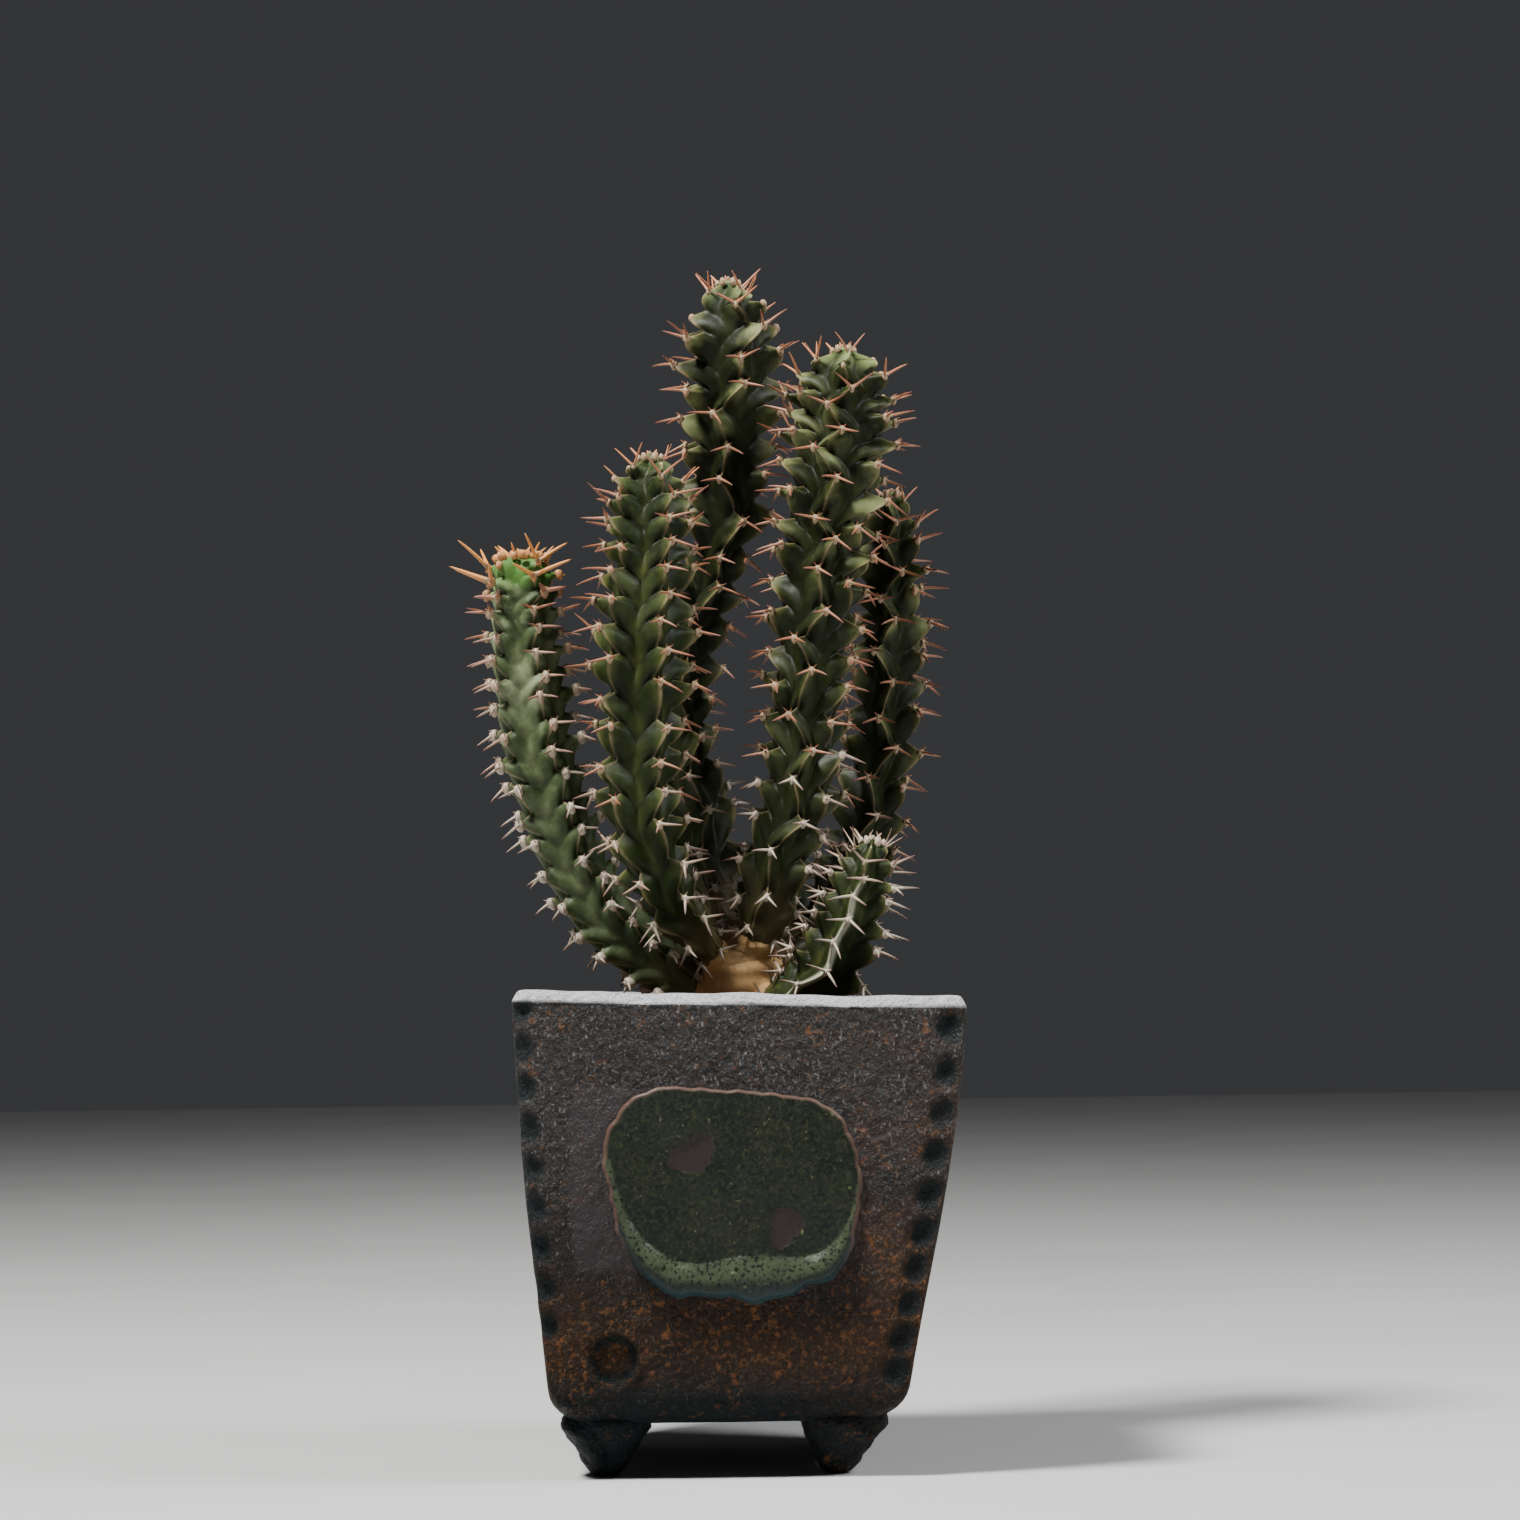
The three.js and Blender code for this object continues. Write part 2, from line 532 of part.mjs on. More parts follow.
// A stem's skin: crest points at the teeth and notches of each rib, valley points between the ribs, and at
// each tooth a small shield of four points whose two halves are drawn out into spines.
function makeStem(stem, spines) {
  const { table, teeth } = stem;
  const length = table[table.length - 1].run;
  const points = [];
  const faces = [];
  const add = (point) => points.push(point) - 1;
  const crest = [];
  const valley = [];
  const soften = (run) => THREE.MathUtils.smoothstep(run, -4, 16);
  for (let rib = 0; rib < stem.ribs; rib += 1) {
    const rows = teeth.filter((tooth) => tooth.rib === rib);
    const column = [{ notch: add(stemPoint(table, 0, ribAngle(stem, rib, 0, length), 0.94).point) }];
    const gully = [add(stemPoint(table, 0, ribAngle(stem, rib + 0.5, 0, length), 0.86).point)];
    const next = teeth.filter((tooth) => tooth.rib === (rib + 1) % stem.ribs);
    rows.forEach((tooth, i) => {
      const size = Math.min(1, tooth.gap / 5.2) * Math.min(1, tooth.here.radius / 5);
      const across = tooth.here.along.clone().cross(tooth.out).normalize();
      const away = tooth.here.along.clone().addScaledVector(tooth.out, -Math.min(tooth.here.fall, 2.2)).normalize();
      const high = shieldHalf.along * size;
      const wide = shieldHalf.across * size;
      const top = tooth.point.clone().addScaledVector(away, high).addScaledVector(tooth.out, -0.2 * size);
      const low = tooth.point.clone().addScaledVector(away, -high).addScaledVector(tooth.out, -0.3 * size);
      const left = tooth.point.clone().addScaledVector(across, -wide).addScaledVector(tooth.out, -0.3 * size);
      const right = tooth.point.clone().addScaledVector(across, wide).addScaledVector(tooth.out, -0.3 * size);
      const [tipLeft, tipRight] = setSpines(stem, tooth, spines);
      column.push({
        top: add(top), low: add(low), left: add(left), right: add(right),
        tipLeft: add(tipLeft), tipRight: add(tipRight),
      });
      const after = rows[i + 1];
      const run = after ? (tooth.run + after.run) / 2 : (tooth.run + length) / 2;
      const angle = after ? (tooth.angle + after.angle) / 2 : tooth.angle;
      const share = 1 - notchDepth * soften(run);
      column.push({ notch: add(stemPoint(table, run, angle, share).point) });
      for (const [mine, its] of [[tooth.run, next[i].run], [run, next[i + 1] ? (next[i].run + next[i + 1].run) / 2 : run]]) {
        const level = Math.min((mine + its) / 2 - 0.16 * tooth.gap, length - 0.4);
        const depth = 1 - valleyDepth * soften(level) * (stem.ribs === 6 ? 0.82 : 1);
        gully.push(add(stemPoint(table, level, ribAngle(stem, rib + 0.5, level, length), depth).point));
      }
    });
    crest.push(column);
    valley.push(gully);
  }
  const root = add(onPath(table, 0).place);
  const tip = add(onPath(table, length).place.addScaledVector(onPath(table, length).along, 0.6));
  for (let rib = 0; rib < stem.ribs; rib += 1) {
    const column = crest[rib];
    const [after, before] = [valley[rib], valley[(rib + stem.ribs - 1) % stem.ribs]];
    for (let row = 0; row < stem.rows; row += 1) {
      const [below, tooth, above] = [column[2 * row].notch, column[2 * row + 1], column[2 * row + 2].notch];
      const [r0, r1, r2] = after.slice(2 * row, 2 * row + 3);
      const [l0, l1, l2] = before.slice(2 * row, 2 * row + 3);
      const { top, low, left, right, tipLeft, tipRight } = tooth;
      faces.push(below, r0, low, low, r0, r1, low, r1, right, right, r1, top, top, r1, r2, top, r2, above);
      faces.push(below, low, l0, low, l1, l0, low, left, l1, left, top, l1, top, l2, l1, top, above, l2);
      faces.push(top, left, tipLeft, left, low, tipLeft, low, top, tipLeft);
      faces.push(low, right, tipRight, right, top, tipRight, top, low, tipRight);
    }
    const end = 2 * stem.rows;
    faces.push(column[end].notch, after[end], tip, column[end].notch, tip, before[end]);
    faces.push(column[0].notch, root, after[0], column[0].notch, before[0], root);
  }
  return geometryOf(points, faces);
}

// A round sleeve a little wider than a stem's foot, cut out of the trunk to seat the stem.
function makeSocket(stem) {
  const sides = 10;
  const rings = [-0.35, 0.5, 3, 6, 9, 12, 15].map((run) => {
    const here = onPath(stem.table, run);
    const place = here.place.clone().addScaledVector(here.along, Math.min(run, 0));
    const radius = (here.radius * 1.06 + 0.35) / Math.cos(Math.PI / sides);
    return Array.from({ length: sides }, (_, i) => {
      const angle = (i / sides) * 2 * Math.PI;
      const out = here.front.clone().multiplyScalar(Math.cos(angle)).addScaledVector(here.right, Math.sin(angle));
      return place.clone().addScaledVector(out, radius);
    });
  });
  const start = onPath(stem.table, 0);
  const poles = [start.place.clone().addScaledVector(start.along, -0.35), onPath(stem.table, 15).place];
  return solidOf(skin(rings, poles));
}

function makeTrunk() {
  const rings = trunkProfile.map(({ z, radius }, j) => Array.from({ length: trunkSides }, (_, i) => {
    const angle = (i / trunkSides) * 2 * Math.PI;
    const knob = z > mixTop + 2 ? 1 + 0.12 * (chance(i, j, 14) - 0.5) : 1;
    return vec(trunkMiddle.x + radius * knob * Math.cos(angle), trunkMiddle.y + radius * knob * Math.sin(angle), z);
  }));
  const poles = [vec(trunkMiddle.x, trunkMiddle.y, trunkFoot), vec(trunkMiddle.x, trunkMiddle.y, trunkCrown)];
  let trunk = solidOf(skin(rings, poles));
  for (const stem of stems) trunk = trunk.subtract(makeSocket(stem));
  const bodies = trunk.decompose().sort((a, b) => b.volume() - a.volume());
  return geometryFrom(bodies[0]);
}

for (const stem of stems) {
  stem.table = followPath(stem.path);
  stem.teeth = layTeeth(stem, stem.table);
}

const group = new THREE.Group();
group.add(named('pot', makePot(), '#4a4542', 0.75));
group.add(named('potting_mix', makeMix(), '#4b3d30', 0.95));
group.add(named('trunk', makeTrunk(), '#a8713f', 0.8));
const spines = [];
for (const stem of stems) group.add(named(stem.name, makeStem(stem, spines), stem.color, 0.6));

// The origin is under the middle of the whole object, level with the feet.
const box = new THREE.Box3().setFromObject(group);
const middle = box.getCenter(vec(0, 0, 0));
group.position.set(-middle.x, -middle.y, -box.min.z);

export default group;
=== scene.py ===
"""A many-stemmed spiny succulent in a square, pinched stoneware pot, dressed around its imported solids."""
import math

import bpy
import numpy as np
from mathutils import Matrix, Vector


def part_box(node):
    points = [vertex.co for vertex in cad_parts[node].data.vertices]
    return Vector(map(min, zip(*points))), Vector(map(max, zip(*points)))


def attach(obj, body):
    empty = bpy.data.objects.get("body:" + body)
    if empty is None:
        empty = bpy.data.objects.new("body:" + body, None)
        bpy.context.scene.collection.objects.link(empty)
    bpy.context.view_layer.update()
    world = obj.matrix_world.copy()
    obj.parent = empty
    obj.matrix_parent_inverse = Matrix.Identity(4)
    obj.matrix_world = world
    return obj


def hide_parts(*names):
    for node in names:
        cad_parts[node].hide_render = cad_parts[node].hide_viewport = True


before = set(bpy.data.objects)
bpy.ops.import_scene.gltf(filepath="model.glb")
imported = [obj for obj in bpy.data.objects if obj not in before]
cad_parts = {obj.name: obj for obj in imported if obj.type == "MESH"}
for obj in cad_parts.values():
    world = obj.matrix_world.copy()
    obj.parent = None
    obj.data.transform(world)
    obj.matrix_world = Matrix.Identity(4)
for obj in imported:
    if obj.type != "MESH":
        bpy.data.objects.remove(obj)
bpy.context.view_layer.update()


# The pot: dark grogged stoneware built of slabs, its corner edges pinched together with a row of thumb
# dents, the rim cut to a bevel, the base rounded under. It was put together by hand, so it leans a little,
# and the middle of its box lies a little to the right of its axis.
MM, axis_shift = 0.001, 0.36
pot_low, pot_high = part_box("pot")
pot_axis = ((pot_low[0] + pot_high[0]) / 2 - axis_shift * MM, (pot_low[1] + pot_high[1]) / 2, pot_low[2])


def make_piece(name, points, faces):
    """A mesh object from points in millimetres about the pot's axis."""
    mesh = bpy.data.meshes.new(name)
    placed = np.asarray(points, dtype=float) * MM + np.array(pot_axis)
    mesh.from_pydata(placed.tolist(), [], faces)
    mesh.polygons.foreach_set("use_smooth", [True] * len(mesh.polygons))
    mesh.update()
    piece = bpy.data.objects.new(name, mesh)
    bpy.context.scene.collection.objects.link(piece)
    return piece


def paint(piece, name, red, green, blue):
    """Stores three values at each point, which the piece's materials read."""
    layer = piece.data.attributes.new(name, "FLOAT_COLOR", "POINT")
    values = np.stack([red, green, blue, np.ones_like(red)], axis=1)
    layer.data.foreach_set("color", values.astype(np.float32).ravel())


def grid_faces(rows, around, start=0, closed_rows=False):
    """Quads between rings of points that each close on themselves."""
    faces = []
    for j in range(rows if closed_rows else rows - 1):
        low, high = start + j * around, start + (j + 1) % rows * around
        for i in range(around):
            following = (i + 1) % around
            faces.append((low + i, low + following, high + following, high + i))
    return faces


def add_caps(faces, around, low, low_pole, high, high_pole):
    """Closes the two ends of a tube with triangles from its low and its high ring to a pole each."""
    for i in range(around):
        following = (i + 1) % around
        faces.append((low_pole, low + following, low + i))
        faces.append((high_pole, high + i, high + following))


def chance(a, b, seed):
    """A repeatable value from 0 to 1 for two whole numbers."""
    wave = math.sin(a * 12.9898 + b * 78.233 + seed * 37.719) * 43758.5453
    return wave - math.floor(wave)


def smoothstep(value, low, high):
    share = np.clip((np.asarray(value, dtype=float) - low) / (high - low), 0, 1)
    return share * share * (3 - 2 * share)


def ease(value, low, high):
    """smoothstep() for a single number."""
    return float(smoothstep(value, low, high))


profile_z = [20, 37, 58, 79, 100.5]
profile_half = np.polyfit(profile_z, [37.5, 40.1, 43, 45.5, 46.8], 3)
profile_lean = np.polyfit([11.4] + profile_z, [-3.4, -2.7, -2.1, -1, 0, 0.4], 3)
rim_top, rim_slope, bevel_drop, wall = 100.5, 0.027, 2.4, 4.8
base_top, base_bottom, base_tuck, base_lean = 20, 11.3, 9.5, -3.4
inner_low, inner_round, inner_lean, floor_top, drain_radius = 26, 8, -2.8, 17, 6
corner_runs = [0, 0.35, 0.7, 1.1, 1.5, 2, 2.5, 3.1, 3.7, 4.4, 5.1, 5.9, 6.8, 7.8, 9, 10.4]
face_points = (64, 20, 20, 20)
bevel_steps = [(0.05, -2.1, 0.5), (-0.15, -1.7, 0.9), (-0.45, -1.1, 1), (-0.8, -0.5, 1), (-1.1, -0.12, 1),
               (-1.5, 0.02, 1), (-2.4, 0.1, 1), (-3.3, 0, 0.9), (-3.9, -0.35, 0.6), (-4.4, -1, 0.3)]


def wall_half(z):
    """Half the pot's outer width at a height."""
    return float(np.polyval(profile_half, z))


def wall_lean(z):
    """How far the pot's middle is shifted to the right at a height."""
    return float(np.polyval(profile_lean, z))


def square_ring(half, corner):
    """Points of a rounded square, each with its run from the corner edge, that corner, and its side."""
    arc = corner * math.pi / 4
    reach = arc + half - corner
    ring = []
    for side in range(4):
        turn = side * math.pi / 2
        runs = corner_runs + list(np.linspace(corner_runs[-1], reach, face_points[side] + 1)[1:])
        for step, run in enumerate(runs + runs[-2:0:-1]):
            mirrored = step >= len(runs)
            if run < arc:
                angle = math.radians(225) + run / corner
                x = -half + corner + corner * math.cos(angle)
                y = -half + corner + corner * math.sin(angle)
            else:
                x, y = -half + corner + run - arc, -half
            x = -x if mirrored else x
            ring.append((x * math.cos(turn) - y * math.sin(turn), x * math.sin(turn) + y * math.cos(turn),
                         run, (side + mirrored) % 4, side))
    return np.array(ring)


def circle_ring(like, radius):
    angle = np.arctan2(like[:, 1], like[:, 0])
    ring = like.copy()
    ring[:, 0], ring[:, 1] = radius * np.cos(angle), radius * np.sin(angle)
    return ring


def pot_rings():
    """Each ring as its points, height, lean, dent weight and whether it is on the rim's bevel."""
    rows = []
    base_half = wall_half(base_top)
    under = square_ring(base_half - base_tuck, 6)
    for share in (0, 0.25, 0.5, 0.75):
        ring = circle_ring(under, drain_radius + 0.4) * (1 - share) + under * share
        ring[:, 2:] = under[:, 2:]
        rows.append((ring, base_bottom, base_lean, 0, 0))
    for angle in np.radians([90, 78, 66, 54, 42, 30, 20, 10]):
        half = base_half - base_tuck * (1 - math.cos(angle))
        z = base_top - (base_top - base_bottom) * math.sin(angle)
        rows.append((square_ring(half, 2.2 + 3 * math.sin(angle)), z, wall_lean(z), 0.4, 0))
    bevel_low = rim_top - bevel_drop
    for z in np.linspace(base_top, bevel_low, 150):
        rows.append((square_ring(wall_half(z), 1.6), z, wall_lean(z), 1, 0))
    rim_half = wall_half(rim_top)
    for inward, drop, bevel in bevel_steps:
        rows.append((square_ring(rim_half + inward, 1.6), rim_top + drop, 0.4, 0, bevel))
    for z in np.linspace(98, inner_low, 25):
        half = wall_half(z) - wall
        rows.append((square_ring(half, 3.2), z, wall_lean(z), 0, 0))
    inner_half = wall_half(inner_low) - wall
    for angle in np.radians([30, 60, 90]):
        half = inner_half - inner_round * (1 - math.cos(angle))
        z = inner_low - (inner_low - floor_top) * math.sin(angle)
        rows.append((square_ring(half, 5), z, inner_lean, 0, 0))
    floor_ring = square_ring(inner_half - inner_round, 5)
    for share in (0.7, 0.35):
        ring = floor_ring * share + circle_ring(floor_ring, drain_radius) * (1 - share)
        ring[:, 2:] = floor_ring[:, 2:]
        rows.append((ring, floor_top - 0.3, -3, 0, 0))
    for z in (floor_top - 0.6, 14):
        rows.append((circle_ring(floor_ring, drain_radius), z, base_lean, 0, 0))
    return rows


def dent_press(corner, side, run, z):
    """How far a point is pushed in by its corner's thumb dents, and how much of the dark teal tint and
    painted shade of a dent it gets. The front dents are pressed from the front face, the back ones from the
    back face."""
    left = corner in (0, 3)
    shift, width, tallness, dents = (1.0, 2.9, 3.5, 9) if left else (2.5, 3.2, 4.1, 10)
    across = run if side in (0, 2) else -run
    depth, hollow = 0.0, 0.0
    for k in range(dents):
        middle = 96.8 - 8.06 * k if left else 93.9 - 9.3 * k + 0.15 * k * k
        middle += 0.5 * (chance(k, corner, 2) - 0.5)
        grip = 1.55 + 0.5 * (chance(corner, k, 3) - 0.5)
        wide = width * (0.9 + 0.2 * chance(k, corner, 4)) * (1.15 if across > shift else 1)
        tall = tallness + 0.5 * (chance(k, corner, 5) - 0.5)
        reach = math.hypot((across - shift) / wide, (z - middle) / tall)
        if reach < 1.25:
            depth += grip * (1 - ease(reach, 0.1, 1.25))
            hollow = max(hollow, 1 - ease(reach, 0.45, 1.0))
    return depth - 0.22 * (1 - ease(run, 2, 6)), hollow


def hand_wave(x, y, z):
    """The slow unevenness of a hand-made wall, in millimetres."""
    return (0.22 * np.sin(x * 0.13 + z * 0.09 + 1) + 0.18 * np.sin(y * 0.16 - z * 0.12 + 2)
            + 0.12 * np.sin(x * 0.31 + y * 0.27 + z * 0.23) + 0.07 * np.sin(x * 0.7 - z * 0.55 + y * 0.6))


dimple_x, dimple_z, dimple_radius = -26.6, 25.4, 5.2
pool_x, pool_z, pool_half_x, pool_half_z = -1.4, 60.2, 25.0, 21.6


def pool_reach(angle):
    """Outline of the poured glaze: a slumped round that is halfway to a square."""
    wave = 1 + 0.045 * np.cos(2 * angle + 0.9) + 0.035 * np.sin(3 * angle + 0.4)
    return wave * (np.abs(np.cos(angle)) ** 3 + np.abs(np.sin(angle)) ** 3) ** (-1 / 3)


corner_ways = [(-1, -1), (1, -1), (1, 1), (-1, 1)]
face_ways = [(0, -1), (1, 0), (0, 1), (-1, 0)]


def press_dimple(x, z):
    """How far the plain round dimple low on the front pushes the wall in, and how much of the dark teal
    tint and painted shade falls in the ring of its groove. A low ridge stands round it, and its middle is
    domed."""
    reach = math.hypot(x - dimple_x, z - dimple_z) / dimple_radius
    sunk = 1 - ease(reach, 0.84, 1.0)
    ridge = 0.4 * math.exp(-((reach - 1.12) / 0.13) ** 2)
    dome = 0.45 * sunk * (1 - min(1, reach)) ** 0.5
    hollow = 0.75 * ease(reach, 0.5, 0.8) * (1 - ease(reach, 0.92, 1.06))
    return 1.35 * sunk - ridge - dome, hollow


def make_pot():
    """The pot, marked with the dark teal tint and painted shade of its dents and dimple, the paler clay and
    painted highlight of its bevel, and the thin wash beside and around the glaze.
    """
    points, dents, bevel_pale_and_painted_highlight, washes = [], [], [], []
    rings = pot_rings()
    for ring, z, lean, dented, bevel in rings:
        for x, y, run, corner, side in ring:
            corner, side = int(corner), int(side)
            rim_wave = 0.35 * math.sin(x * 0.16 + y * 0.11) + 0.2 * math.sin(x * 0.43 + 1)
            height = z + rim_wave * (0.6 if bevel else 0)
            hollow = 0.0
            if dented:
                press, hollow = dent_press(corner, side, run, z)
                x -= corner_ways[corner][0] * press * dented * 0.3
                y -= corner_ways[corner][1] * press * dented * 0.95
                swell = float(hand_wave(x, y, z)) * min(1, run / 6)
                x, y = x + face_ways[side][0] * swell, y + face_ways[side][1] * swell
                if side == 0:
                    push, sunk = press_dimple(x + lean, z)
                    y += push
                    hollow = max(hollow, sunk)
            x += lean
            height -= rim_slope * x * ease(z, 30, rim_top) * (0 if z < 30 else 1)
            points.append((x, y, height))
            # The dent mark: a dark teal tint with painted shade in the dents and in the dimple's ring.
            dents.append(hollow * dented)
            # The bevel mark: paler clay with a painted highlight along the rim's bevel.
            bevel_pale_and_painted_highlight.append(bevel)
            angle = math.atan2((z - pool_z) / pool_half_z, (x - pool_x) / pool_half_x)
            share = math.hypot((x - pool_x) / pool_half_x, (z - pool_z) / pool_half_z)
            share /= float(pool_reach(angle))
            wash_left = -35.4 + 0.0042 * (z - 64) ** 2 + 0.4 * math.sin(z * 0.5) + (4 if z > 81 else 0)
            beside = ease(x, wash_left - 0.3, wash_left + 0.4) * ease(-x, 20, 22)
            beside *= ease(z, 42.5, 45) * (1 - ease(z, 80.4, 81.6))
            halo = 1 - ease(share, 1.02, 1.05)
            washes.append(max(beside, 0.8 * halo) if side == 0 and dented else 0.0)
    faces = grid_faces(len(rings), len(points) // len(rings), closed_rows=True)
    piece = make_piece("pot_body", points, faces)
    paint(piece, "clay_marks", np.array(dents), np.array(bevel_pale_and_painted_highlight), np.array(washes))
    return piece


pot = make_pot()


def put(tree, kind, inputs=None, **settings):
    """Adds a node, sets its properties, and fills its sockets with values or with other nodes' outputs."""
    new = tree.nodes.new(kind)
    for key, value in settings.items():
        setattr(new, key, value)
    for key, value in (inputs or {}).items():
        if isinstance(value, tuple) and len(value) == 2 and isinstance(value[0], bpy.types.Node):
            tree.links.new(value[0].outputs[value[1]], new.inputs[key])
        else:
            new.inputs[key].default_value = value
    return new


def new_finish(name, roughness, specular):
    """A material with its shader, and with the Object coordinates that its textures use."""
    finish = bpy.data.materials.new(name)
    finish.use_nodes = True
    tree = finish.node_tree
    shader = tree.nodes["Principled BSDF"]
    shader.inputs["Roughness"].default_value = roughness
    shader.inputs["Specular IOR Level"].default_value = specular
    put(tree, "ShaderNodeTexCoord", name="coordinates")
    return finish, tree, shader


def coordinates(tree):
    return (tree.nodes["coordinates"], "Object")


def marks(tree, name):
    """The three values that paint() stored at the points of a piece."""
    stored = put(tree, "ShaderNodeAttribute", attribute_name=name)
    return put(tree, "ShaderNodeSeparateColor", {0: (stored, "Color")})


def feed(tree, source, shader, socket):
    """Joins an output to one of the shader's inputs."""
    tree.links.new(source[0].outputs[source[1]], shader.inputs[socket])


def ramp(tree, source, low, high, to_low=0.0, to_high=1.0):
    """A value spread between two limits."""
    return (put(tree, "ShaderNodeMapRange", {0: source, 1: low, 2: high, 3: to_low, 4: to_high}), 0)


def reckon(tree, operation, first, second, clamp=False):
    """One sum of two values, which may be numbers or other nodes' outputs."""
    return (put(tree, "ShaderNodeMath", {0: first, 1: second}, operation=operation, use_clamp=clamp), 0)


def times(tree, first, second):
    return reckon(tree, "MULTIPLY", first, second)


def opaque(colour):
    """A colour of three values with its alpha added. The output of another node stays as it is."""
    return colour if isinstance(colour[0], bpy.types.Node) else (*colour, 1)


def blend(tree, share, under, over):
    """One colour laid over another by a share."""
    return (put(tree, "ShaderNodeMix", {0: share, 6: opaque(under), 7: opaque(over)}, data_type="RGBA"), 2)


def lay_over(tree, body, share, strength, colour):
    """A colour laid over the body by a share that is first scaled by a strength."""
    return blend(tree, times(tree, share, strength), body, colour)


def shaded(colour, share):
    return tuple(value * share for value in colour)


def noise(tree, scale, detail=4.0, roughness=0.55, stretch=None, turn=0.0):
    """Noise on the object's own coordinates, at a scale per metre."""
    source = coordinates(tree)
    if stretch:
        turned = {"Vector": source, "Scale": stretch, "Rotation": (0, turn, 0)}
        source = (put(tree, "ShaderNodeMapping", turned), 0)
    inputs = {"Vector": source, "Scale": scale, "Detail": detail, "Roughness": roughness}
    return (put(tree, "ShaderNodeTexNoise", inputs), 0)


def bump(tree, strength, distance, height, under=None):
    """A surface raised by a height from 0 to 1 of a distance in metres, over an earlier bump if any."""
    inputs = {"Strength": strength, "Distance": distance, "Height": height}
    if under:
        inputs["Normal"] = under
    return (put(tree, "ShaderNodeBump", inputs), 0)


